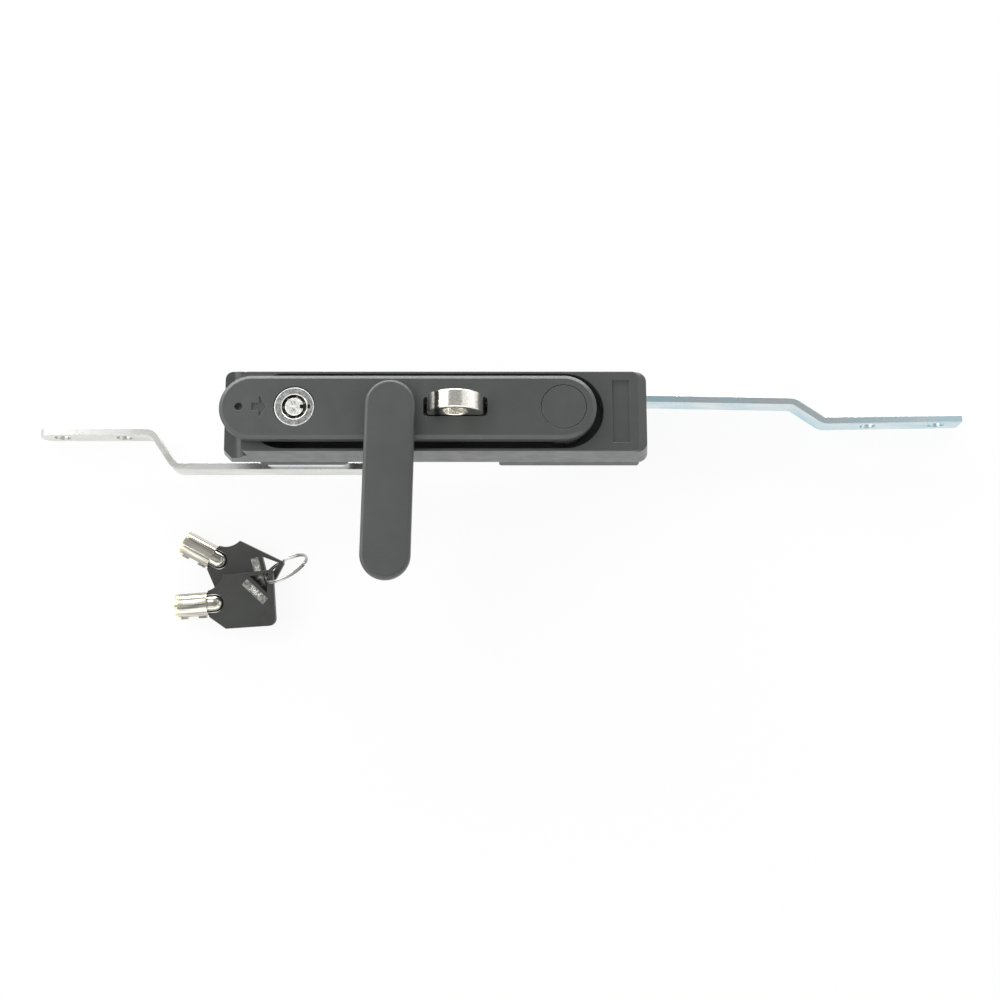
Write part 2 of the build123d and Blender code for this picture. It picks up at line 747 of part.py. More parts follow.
with BuildPart() as lock_pins:
    with BuildSketch(Plane.XY.offset(keyway_floor + lock_pin_rise)):
        with Locations((lock_x, 0)):
            with PolarLocations(lock_pin_ring, lock_pin_count, start_angle=180 / lock_pin_count):
                Circle(lock_pin_radius - lock_pin_gap)
    extrude(amount=-lock_pin_length)
lock_pins.part.label = "lock_pins"
export_step(lock_pins.part, "parts/lock_pins.step")

with BuildPart() as lock_cam:
    with BuildSketch(Plane.XY.offset(cam_bottom)):
        with Locations((lock_x, 0)):
            Circle(cam_width / 2 + cam_hub)
        with Locations((lock_x + (cam_reach - cam_width / 2) / 2, 0)):
            Rectangle(cam_reach - cam_width / 2, cam_width)
        with Locations((lock_x + cam_reach - cam_width / 2, 0)):
            Circle(cam_width / 2)
        with Locations((lock_x, 0)):
            Rectangle(cam_square + 2 * seat_gap, cam_square + 2 * seat_gap, mode=Mode.SUBTRACT)
    extrude(amount=cam_thickness)
lock_cam.part.label = "lock_cam"
export_step(lock_cam.part, "parts/lock_cam.step")

cam_screw = screws(facing_back(cam_bottom), [(lock_x, 0)], small_screw,
                   cam_screw_depth - screw_end_gap, cam_screw_head_radius, cam_screw_head_height)
cam_screw.label = "cam_screw"
export_step(cam_screw, "parts/cam_screw.step")

# ---- Dust cover, its stud, spring washer and clip ------------------------------------------------
lean = math.radians(cover_lean)
cover_along = (-math.sin(lean), -math.cos(lean), 0)
cover_plane = Plane(origin=(cover_x, 0, cover_under), x_dir=cover_along, z_dir=(0, 0, 1))
with BuildPart() as dust_cover:
    with BuildSketch(cover_plane):
        with Locations((cover_reach / 2, 0)):
            SlotCenterToCenter(cover_reach, 2 * cover_radius)
    extrude(amount=cover_thickness)
    fillet(dust_cover.edges().group_by(Axis.Z)[-1], cover_round)
    chamfer(dust_cover.edges().group_by(Axis.Z)[0], cover_chamfer)
    with BuildSketch(cover_plane):
        Circle(stud_head_radius)
    extrude(amount=stud_head_recess + stud_head_depth, mode=Mode.SUBTRACT)
    # The nub that drops into the handle's dimple
    with BuildSketch(cover_plane):
        with Locations((cover_reach, 0)):
            Circle(detent_radius - slide_gap)
    extrude(amount=-nub_height)
dust_cover.part.label = "dust_cover"
export_step(dust_cover.part, "parts/dust_cover.step")

washer_top = handle_under - slide_gap
clip_top = washer_top - spring_washer_thickness
stud_end = clip_top - clip_thickness - stud_tail
stud_head_under = cover_under + stud_head_recess
with BuildPart() as cover_stud:
    with BuildSketch(Plane.XY.offset(stud_end)):
        with Locations((cover_x, 0)):
            Circle(stud_radius)
    extrude(amount=stud_head_under - stud_end)
    chamfer(cover_stud.edges().group_by(Axis.Z)[0], stud_chamfer)
    with BuildSketch(Plane.XY.offset(stud_head_under)):
        with Locations((cover_x, 0)):
            Circle(stud_head_radius - stud_head_gap)
    extrude(amount=stud_head_depth)
    with BuildSketch(Plane.XY.offset(clip_top)):
        with Locations((cover_x, 0)):
            Circle(stud_head_radius)
            Circle(stud_radius - groove_depth, mode=Mode.SUBTRACT)
    extrude(amount=-clip_thickness, mode=Mode.SUBTRACT)
cover_stud.part.label = "cover_stud"
export_step(cover_stud.part, "parts/cover_stud.step")

with BuildPart() as spring_washer:
    with BuildSketch(Plane.XY.offset(clip_top)):
        with Locations((cover_x, 0)):
            Circle(spring_washer_radius)
            Circle(stud_radius + seat_gap, mode=Mode.SUBTRACT)
    extrude(amount=spring_washer_thickness)
spring_washer.part.label = "spring_washer"
export_step(spring_washer.part, "parts/spring_washer.step")

with BuildPart() as cover_clip:
    with BuildSketch(Plane.XY.offset(clip_top)):
        with Locations((cover_x, 0)):
            Circle(clip_radius)
            Circle(stud_radius - groove_depth + seat_gap, mode=Mode.SUBTRACT)
        with Locations((cover_x, -clip_radius)):
            Rectangle(2 * (stud_radius - groove_depth), 2 * clip_radius, mode=Mode.SUBTRACT)
    extrude(amount=-clip_thickness)
cover_clip.part.label = "cover_clip"
export_step(cover_clip.part, "parts/cover_clip.step")

# ---- Clamp that holds the left end to the door -----------------------------------------------------
with BuildPart() as clamp_pad:
    with BuildSketch(Plane.XZ.offset(-housing_width / 2)):
        with BuildLine():
            Polyline(
                (clamp_left, 0),
                (clamp_right, 0),
                (clamp_right - clamp_end_slope, -clamp_pad_thickness),
                (clamp_left + clamp_end_slope, -clamp_pad_thickness),
                close=True,
            )
        make_face()
    extrude(amount=housing_width)
    with BuildSketch(Plane.XY):
        with Locations(*clamp_screw_places):
            Circle(large_screw + seat_gap)
    extrude(amount=-clamp_pad_thickness, mode=Mode.SUBTRACT)
clamp_pad.part.label = "clamp_pad"
export_step(clamp_pad.part, "parts/clamp_pad.step")

clamp_bottom = -clamp_pad_thickness - clamp_plate_thickness
with BuildPart() as clamp_plate:
    with BuildSketch(Plane.XY.offset(-clamp_pad_thickness)):
        with Locations(((clamp_left + clamp_right) / 2, 0)):
            RectangleRounded(clamp_right - clamp_left - 2 * clamp_end_slope, housing_width, clamp_plate_corner)
        with Locations(*clamp_screw_places):
            Circle(large_screw + seat_gap, mode=Mode.SUBTRACT)
    extrude(amount=-clamp_plate_thickness)
clamp_plate.part.label = "clamp_plate"
export_step(clamp_plate.part, "parts/clamp_plate.step")

clamp_screws = screws(facing_back(clamp_bottom),
                      clamp_screw_places, large_screw,
                      housing_screw_depth - clamp_bottom - screw_end_gap,
                      large_head_radius, large_head_height)
clamp_screws.label = "clamp_screws"
export_step(clamp_screws, "parts/clamp_screws.step")

# ---- Gear case: collar behind the door, body with the racks' channels, and its cover ---------------
body_centre_x = pivot_x + (body_right - body_left) / 2
body_length = body_left + body_right
with BuildPart() as gear_case:
    with BuildSketch(Plane.XY):
        with Locations(((case_left + case_right) / 2, 0)):
            RectangleRounded(case_right - case_left, housing_width, case_corner)
    extrude(amount=-collar_thickness)
    with BuildSketch(Plane.XY.offset(-collar_thickness)):
        with Locations((body_centre_x, 0)):
            RectangleRounded(body_length, body_width, case_corner)
    extrude(amount=case_bottom + collar_thickness)
    with BuildSketch(Plane.XY.offset(case_bottom)):
        for side in (-1, 1):
            with Locations((body_centre_x, side * (channel_inner + housing_width / 2))):
                Rectangle(2 * body_length, housing_width)
        with Locations((pivot_x, 0)):
            Circle(pitch_radius + pinion_addendum + slide_gap)
    extrude(amount=channel_top - case_bottom, mode=Mode.SUBTRACT)
    with BuildSketch(Plane.XY):
        with Locations((pivot_x, 0)):
            Circle(journal_radius + running_gap)
    extrude(amount=-journal_depth - seat_gap, mode=Mode.SUBTRACT)
    with Locations((pivot_x, 0, 0)):
        Hole(shaft_radius + running_gap)
    with BuildSketch(Plane.XY):
        with Locations(*case_screw_places):
            Circle(large_screw + seat_gap)
    extrude(amount=-collar_thickness, mode=Mode.SUBTRACT)
    with BuildSketch(Plane.XY.offset(case_bottom)):
        with Locations(*case_cover_screw_places):
            Circle(small_screw + seat_gap)
    extrude(amount=cover_screw_depth, mode=Mode.SUBTRACT)
gear_case.part.label = "gear_case"
export_step(gear_case.part, "parts/gear_case.step")

wing_inner = rack_back + slide_gap
with BuildPart() as case_cover:
    with BuildSketch(Plane.XY.offset(case_bottom)):
        with Locations((body_centre_x, 0)):
            Rectangle(body_length, body_width)
        with Locations((pivot_x + (wing_start + wing_end) / 2, 0)):
            Rectangle(wing_end - wing_start, 2 * (wing_inner + wing_thickness))
        with Locations((pivot_x, 0)):
            Circle(shaft_radius, mode=Mode.SUBTRACT)
        with Locations(*case_cover_screw_places):
            Circle(small_screw + seat_gap, mode=Mode.SUBTRACT)
    extrude(amount=-case_cover_thickness)
    with BuildSketch(Plane.XY.offset(case_bottom)):
        for side in (-1, 1):
            with Locations((pivot_x + (wing_start + wing_end) / 2, side * (wing_inner + wing_thickness / 2))):
                Rectangle(wing_end - wing_start, wing_thickness)
    extrude(amount=wing_rise)
case_cover.part.label = "case_cover"
export_step(case_cover.part, "parts/case_cover.step")

case_screws = screws(facing_back(-collar_thickness),
                     case_screw_places, large_screw,
                     housing_screw_depth + collar_thickness - screw_end_gap,
                     large_head_radius, large_head_height)
case_screws.label = "case_screws"
export_step(case_screws, "parts/case_screws.step")

case_cover_screws = screws(facing_back(cover_bottom),
                           case_cover_screw_places, small_screw,
                           case_cover_thickness + cover_screw_depth - screw_end_gap,
                           small_head_radius, small_head_height)
case_cover_screws.label = "case_cover_screws"
export_step(case_cover_screws, "parts/case_cover_screws.step")

# ---- Pinion ------------------------------------------------------------------------------------
base_radius = pitch_radius * math.cos(math.radians(pressure_angle))
tip_radius = pitch_radius + pinion_addendum
root_radius = pitch_radius - tooth_dedendum
pitch_step = math.pi * gear_module


def involute(radius):
    """Angle by which an involute flank has turned away at a radius."""
    alpha = math.acos(min(1.0, base_radius / radius))
    return math.tan(alpha) - alpha


def half_tooth_angle(radius):
    """Half the angle that a pinion tooth fills at a radius."""
    at_pitch = (pitch_step / 2 - backlash) / (2 * pitch_radius)
    return at_pitch + involute(pitch_radius) - involute(max(radius, base_radius))


def polar(radius, angle):
    return (pivot_x + radius * math.cos(angle), radius * math.sin(angle))


def pinion_outline():
    """Corner points of all the teeth, anticlockwise."""
    flank = [root_radius] + [base_radius + (tip_radius - base_radius) * i / 4 for i in range(5)]
    points = []
    for tooth in range(pinion_teeth):
        middle = 2 * math.pi * tooth / pinion_teeth
        points += [polar(r, middle - half_tooth_angle(r)) for r in flank]
        points += [polar(r, middle + half_tooth_angle(r)) for r in reversed(flank)]
    return points


pinion_top = channel_top - slide_gap
pinion_bottom = case_bottom + slide_gap
with BuildPart() as drive_pinion:
    with BuildSketch(Plane.XY.offset(pinion_bottom)):
        with BuildLine():
            Polyline(*pinion_outline(), close=True)
        make_face()
        with Locations((pivot_x, 0)):
            Circle(pinion_bore + running_gap, mode=Mode.SUBTRACT)
    extrude(amount=pinion_top - pinion_bottom)
drive_pinion.part.label = "drive_pinion"
export_step(drive_pinion.part, "parts/drive_pinion.step")

with BuildPart() as pinion_washer:
    with BuildSketch(Plane.XY.offset(case_bottom)):
        with Locations((pivot_x, 0)):
            Circle(shaft_radius - slide_gap)
            Circle(small_screw + seat_gap, mode=Mode.SUBTRACT)
    extrude(amount=-pinion_washer_thickness)
pinion_washer.part.label = "pinion_washer"
export_step(pinion_washer.part, "parts/pinion_washer.step")

pinion_screw = screws(facing_back(case_bottom - pinion_washer_thickness), [(pivot_x, 0)], small_screw,
                      pinion_washer_thickness + pinion_screw_depth - screw_end_gap,
                      pinion_screw_head_radius, pinion_screw_head_height)
pinion_screw.label = "pinion_screw"
export_step(pinion_screw, "parts/pinion_screw.step")

# ---- Racks, one each side of the pinion --------------------------------------------------------------


def rack_outline(side, bar_from, bar_to, teeth_from, teeth_to):
    """Outline of a rack: a bar whose inner edge has teeth between two places measured from the pivot."""
    slope = math.tan(math.radians(pressure_angle))
    half_width = (pitch_step / 2 - backlash) / 2
    half_root = half_width + tooth_dedendum * slope
    half_tip = half_width - rack_addendum * slope
    tip_y = pitch_radius - rack_addendum
    points = [(bar_from, rack_back), (bar_from, rack_root)]
    first = math.ceil(teeth_from / pitch_step - 0.5)
    last = math.floor(teeth_to / pitch_step - 0.5)
    for tooth in range(first, last + 1):
        middle = pivot_x + (tooth + 0.5) * pitch_step
        points.append((middle - half_root, rack_root))
        points.append((middle - half_tip, tip_y))
        points.append((middle + half_tip, tip_y))
        points.append((middle + half_root, rack_root))
    points += [(bar_to, rack_root), (bar_to, rack_back)]
    return [(x, side * y) for x, y in points]


left_lap_to = left_rack_end + lap_length
right_lap_from = pivot_x + body_right
right_rack_end = right_lap_from + lap_length
left_rivets = [left_rack_end + rivet_inset, left_rack_end + rivet_inset + rivet_spacing]
right_rivets = [right_rack_end - rivet_inset - rivet_spacing, right_rack_end - rivet_inset]

with BuildPart() as rack_left:
    with BuildSketch(Plane.XY.offset(rack_top - rack_height)):
        with BuildLine():
            Polyline(
                *rack_outline(-1, left_rack_end, pivot_x + left_teeth_to, left_teeth_from, left_teeth_to),
                close=True,
            )
        make_face()
    extrude(amount=rack_height)
    with BuildSketch(Plane.XZ.offset(-housing_width / 2)):
        with Locations(*[(x, rivet_z) for x in left_rivets]):
            Circle(rivet_radius + seat_gap)
    extrude(amount=housing_width, mode=Mode.SUBTRACT)
rack_left.part.label = "rack_left"
export_step(rack_left.part, "parts/rack_left.step")

with BuildPart() as rack_right:
    with BuildSketch(Plane.XY.offset(rack_top - rack_height)):
        with BuildLine():
            Polyline(
                *rack_outline(1, pivot_x + right_teeth_from, right_rack_end, right_teeth_from, right_teeth_to),
                close=True,
            )
        make_face()
    extrude(amount=rack_height)
    with BuildSketch(Plane.XZ.offset(-housing_width / 2)):
        with Locations(*[(x, rivet_z) for x in right_rivets]):
            Circle(rivet_radius + seat_gap)
    extrude(amount=housing_width, mode=Mode.SUBTRACT)
rack_right.part.label = "rack_right"
export_step(rack_right.part, "parts/rack_right.step")

# ---- Rods: flat bars on edge, joggled to reach the door's guides ---------------------------------------


def flat_bar(route):
    """A flat bar standing on edge along a route of points, with rounded bends."""
    with BuildPart() as bar:
        with BuildSketch(Plane.XY.offset(rod_top - rod_height)):
            with BuildLine() as line:
                FilletPolyline(*route, radius=rod_bend_radius)
            trace(line.line, rod_thickness)
        extrude(amount=rod_height)
    return bar.part


left_route = [
    (left_end_x, left_end_y),
    (left_joggle_x - left_joggle_run, left_end_y),
    (left_joggle_x, -rod_offset),
    (left_rack_end - joggle_length, -rod_offset),
    (left_rack_end, -lap_y),
    (left_lap_to, -lap_y),
]
right_route = [
    (right_lap_from, lap_y),
    (right_rack_end, lap_y),
    (right_rack_end + joggle_length, rod_offset),
    (right_joggle_x, right_joggle_y),
    (right_joggle_x + right_joggle_run, right_level_y),
    (right_end_x, right_end_y),
]
left_hole_places = [left_end_x + left_hole_inset, left_end_x + left_hole_inset + left_hole_spacing]
right_hole_places = [right_end_x - right_hole_inset, right_end_x - right_hole_inset - right_hole_spacing]

with BuildPart() as rod_left:
    add(flat_bar(left_route))
    fillet(rod_left.edges().filter_by(Axis.Y).group_by(Axis.X)[0], rod_end_round)
    with BuildSketch(Plane.XZ.offset(-housing_width / 2)):
        with Locations(*[(x, rod_middle_z) for x in left_hole_places]):
            Circle(rod_hole_radius)
        with Locations(*[(x, rivet_z) for x in left_rivets]):
            Circle(rivet_radius + seat_gap)
    extrude(amount=housing_width, mode=Mode.SUBTRACT)
rod_left.part.label = "rod_left"
export_step(rod_left.part, "parts/rod_left.step")

with BuildPart() as rod_right:
    add(flat_bar(right_route))
    fillet(rod_right.edges().filter_by(Axis.Y).group_by(Axis.X)[-1], rod_end_round)
    with BuildSketch(Plane.XZ.offset(-housing_width / 2)):
        with Locations(*[(x, rod_middle_z) for x in right_hole_places]):
            Circle(rod_hole_radius)
        with Locations(*[(x, rivet_z) for x in right_rivets]):
            Circle(rivet_radius + seat_gap)
    extrude(amount=housing_width, mode=Mode.SUBTRACT)
rod_right.part.label = "rod_right"
export_step(rod_right.part, "parts/rod_right.step")


def rivets(side, places):
    """Rivets through a rack and its rod, with their heads on the rod's outer face."""
    outer = rack_back + rod_thickness
    head_plane = Plane(origin=(0, side * outer, 0), x_dir=(side, 0, 0), z_dir=(0, side, 0))
    spots = [head_plane.to_local_coords(Vector(x, side * outer, rivet_z)) for x in places]
    with BuildPart() as group:
        with BuildSketch(head_plane):
            with Locations(*[(spot.X, spot.Y) for spot in spots]):
                Circle(rivet_radius)
        extrude(amount=-rod_thickness - rack_thickness)
        with BuildSketch(head_plane):
            with Locations(*[(spot.X, spot.Y) for spot in spots]):
                Circle(rivet_head_radius)
        extrude(amount=rivet_head_height)
        fillet(group.edges().group_by(Axis.Y)[-1 if side > 0 else 0], rivet_head_round)
    return group.part


left_rod_rivets = rivets(-1, left_rivets)
left_rod_rivets.label = "left_rod_rivets"
export_step(left_rod_rivets, "parts/left_rod_rivets.step")

right_rod_rivets = rivets(1, right_rivets)
right_rod_rivets.label = "right_rod_rivets"
export_step(right_rod_rivets, "parts/right_rod_rivets.step")

# ---- Keys and their ring ---------------------------------------------------------------------------


def key_plane(tip, angle, rise, roll):
    """Plane through a key's axis: X runs from its tip to its bow, Z out of the bow's upper face.

    The key is turned about Z, raised at its bow, rolled about its own axis and set down on the ground.
    """
    turn = math.radians(angle)
    climb = math.radians(rise)
    tilt = math.radians(roll)
    along = Vector(math.cos(turn) * math.cos(climb), math.sin(turn) * math.cos(climb), math.sin(climb))
    level = Vector(-math.sin(turn), math.cos(turn), 0)
    upright = along.cross(level)
    across = level * math.cos(tilt) + upright * math.sin(tilt)
    normal = along.cross(across)
    tip_low = -key_radius * math.cos(climb)
    bow_low = min(
        (along * x + across * bow_bottom - normal * (bow_thickness / 2)).Z for x in (bow_slant, bow_end)
    )
    height = ground_z - min(tip_low, bow_low)
    return Plane(origin=(tip[0], tip[1], height), x_dir=along, z_dir=normal)


upper_key = key_plane((upper_key_x, upper_key_y), upper_key_angle, upper_key_rise, upper_key_roll)
lower_key = key_plane((lower_key_x, lower_key_y), lower_key_angle, lower_key_rise, lower_key_roll)


def key_shank(plane):
    """The tubular shank: a domed tube with lugs outside and code cuts in its rim."""
    side_plane = Plane(origin=plane.origin, x_dir=plane.x_dir, z_dir=plane.y_dir)
    tip_plane = Plane(origin=plane.origin, x_dir=plane.y_dir, z_dir=plane.x_dir)
    with BuildPart() as shank:
        with BuildSketch(side_plane):
            with BuildLine():
                Polyline((key_bore_depth, 0), (key_bore_depth, key_bore_radius), (0, key_bore_radius),
                         (0, key_radius), (key_barrel_length, key_radius),
                         (key_barrel_length, key_nose_radius),
                         (key_length - key_nose_radius, key_nose_radius))
                RadiusArc((key_length - key_nose_radius, key_nose_radius), (key_length, 0), key_nose_radius)
                Line((key_length, 0), (key_bore_depth, 0))
            make_face()
        revolve(axis=Axis(plane.origin, plane.x_dir))
        for start, length in ((key_lug_start, key_lug_length), (second_lug_start, second_lug_length)):
            with BuildSketch(tip_plane.offset(start)):
                with Locations((-key_radius, 0)):
                    Rectangle(2 * key_lug_height, key_lug_width)
            extrude(amount=length)
        with BuildSketch(tip_plane):
            with PolarLocations((key_radius + key_bore_radius) / 2, key_cut_count):
                Rectangle(key_radius - key_bore_radius + beyond, key_cut_width)
        extrude(amount=key_cut_depth, mode=Mode.SUBTRACT)
        with BuildSketch(tip_plane):
            Circle(key_bore_radius)
        extrude(amount=key_bore_depth, mode=Mode.SUBTRACT)
    return shank.part


def key_bow(plane):
    """The moulded bow, with a socket round the shank, a hole for the ring and a seat for the tag."""
    socket = key_nose_radius + bow_socket_gap
    shoulder = key_radius + bow_shoulder
    nose_centre = key_length - key_nose_radius
    with BuildPart() as bow:
        with BuildSketch(plane.offset(-bow_thickness / 2)):
            with BuildLine():
                Line((bow_start, -shoulder), (bow_slant, bow_bottom))
                Line((bow_slant, bow_bottom), (bow_end - bow_large_corner, bow_bottom))
                RadiusArc((bow_end - bow_large_corner, bow_bottom), (bow_end, bow_bottom + bow_large_corner),
                          -bow_large_corner)
                Line((bow_end, bow_bottom + bow_large_corner), (bow_end, bow_top - bow_small_corner))
                RadiusArc((bow_end, bow_top - bow_small_corner), (bow_end - bow_small_corner, bow_top),
                          -bow_small_corner)
                Line((bow_end - bow_small_corner, bow_top), (bow_slant, bow_top - bow_taper))
                RadiusArc((bow_slant, bow_top - bow_taper), (bow_start, shoulder), bow_neck_radius)
                Line((bow_start, shoulder), (bow_start, -shoulder))
            make_face()
            with BuildLine():
                Polyline(
                    (ring_hole_left, ring_hole_low_corner),
                    (ring_hole_tip_x, ring_hole_tip_y),
                    (ring_hole_right, ring_hole_top),
                    close=True,
                )
            make_face(mode=Mode.SUBTRACT)
            with Locations((bow_start + (nose_centre - bow_start) / 2, 0)):
                Rectangle(nose_centre - bow_start, 2 * socket, mode=Mode.SUBTRACT)
            with Locations((nose_centre, 0)):
                Circle(socket, mode=Mode.SUBTRACT)
        extrude(amount=bow_thickness)
        with BuildSketch(plane.offset(bow_thickness / 2)):
            with Locations(Location((tag_x, tag_y, 0), (0, 0, tag_angle))):
                Rectangle(tag_length + 2 * seat_gap, tag_width + 2 * seat_gap)
        extrude(amount=-tag_thickness, mode=Mode.SUBTRACT)
    return bow.part


def key_tag(plane):
    """The metal number strip set flush into the bow."""
    with BuildPart() as tag:
        with BuildSketch(plane.offset(bow_thickness / 2)):
            with Locations(Location((tag_x, tag_y, 0), (0, 0, tag_angle))):
                Rectangle(tag_length, tag_width)
        extrude(amount=-tag_thickness)
    return tag.part


for name, plane in (("upper_key", upper_key), ("lower_key", lower_key)):
    for piece, make in (("shank", key_shank), ("bow", key_bow), ("tag", key_tag)):
        solid = make(plane)
        solid.label = name + "_" + piece
        export_step(solid, "parts/" + name + "_" + piece + ".step")

# The ring passes through both bows' holes
tilt = math.radians(ring_tilt)
turn = math.radians(ring_turn)
ring_centre = (ring_x, ring_y, ring_z)
ring_normal = (math.sin(tilt) * math.cos(turn), math.sin(tilt) * math.sin(turn), math.cos(tilt))
ring_plane = Plane(origin=ring_centre, z_dir=ring_normal)
with BuildPart() as key_ring:
    with BuildSketch(Plane(origin=ring_centre, x_dir=ring_plane.x_dir, z_dir=ring_plane.y_dir)):
        with Locations((ring_radius, 0)):
            RectangleRounded(ring_wire, ring_width, ring_edge_round)
    revolve(axis=Axis(ring_centre, ring_normal))
key_ring.part.label = "key_ring"
export_step(key_ring.part, "parts/key_ring.step")
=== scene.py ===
import bpy
import bmesh
import math
from mathutils import Matrix, Vector


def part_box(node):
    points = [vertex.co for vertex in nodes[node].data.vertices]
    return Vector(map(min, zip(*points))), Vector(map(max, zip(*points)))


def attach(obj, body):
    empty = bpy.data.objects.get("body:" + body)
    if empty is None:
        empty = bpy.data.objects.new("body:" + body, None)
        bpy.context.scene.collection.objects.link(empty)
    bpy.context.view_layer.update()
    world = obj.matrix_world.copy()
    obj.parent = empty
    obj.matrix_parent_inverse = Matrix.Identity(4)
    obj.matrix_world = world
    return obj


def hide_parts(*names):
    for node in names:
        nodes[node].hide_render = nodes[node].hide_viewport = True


# The looks of a swing handle lock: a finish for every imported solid, and worked meshes for the
# padlock eye, the lock's head, the split ring and the numbers on the keys and the lock's post.
# Lengths are in metres, and those written in millimetres are multiplied by MM.

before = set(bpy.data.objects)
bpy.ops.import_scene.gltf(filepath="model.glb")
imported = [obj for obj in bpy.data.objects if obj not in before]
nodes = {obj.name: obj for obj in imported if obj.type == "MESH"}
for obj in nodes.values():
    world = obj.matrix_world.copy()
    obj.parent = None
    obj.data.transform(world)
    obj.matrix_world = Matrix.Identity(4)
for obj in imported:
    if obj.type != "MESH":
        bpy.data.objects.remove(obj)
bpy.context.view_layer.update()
MM = 0.001

# ---- Camera ------------------------------------------------------------------------------
AIM = Vector((26.52, -37.0, 18.5)) * MM
STAND_OFF = 0.600
LEAN = math.radians(12.5)
lens_box = bpy.data.cameras.new("camera")
lens_box.lens = 54.0
lens_box.sensor_width = 36.0
lens_box.clip_start = 0.01
lens_box.clip_end = 20.0
camera = bpy.data.objects.new("camera", lens_box)
camera.location = AIM + STAND_OFF * Vector((0, -math.sin(LEAN), math.cos(LEAN)))
camera.rotation_euler = (LEAN, 0, 0)
bpy.context.scene.collection.objects.link(camera)
bpy.context.scene.camera = camera
bpy.context.scene.view_settings.view_transform = "Standard"


# ---- Building blocks for the finishes ------------------------------------------------------
def combined(tree, operation, *values):
    """The result of a Math node whose inputs are sockets or plain numbers."""
    made = tree.nodes.new("ShaderNodeMath")
    made.operation = operation
    for socket, value in zip(made.inputs, values):
        if isinstance(value, bpy.types.NodeSocket):
            tree.links.new(value, socket)
        else:
            socket.default_value = value
    return made.outputs[0]


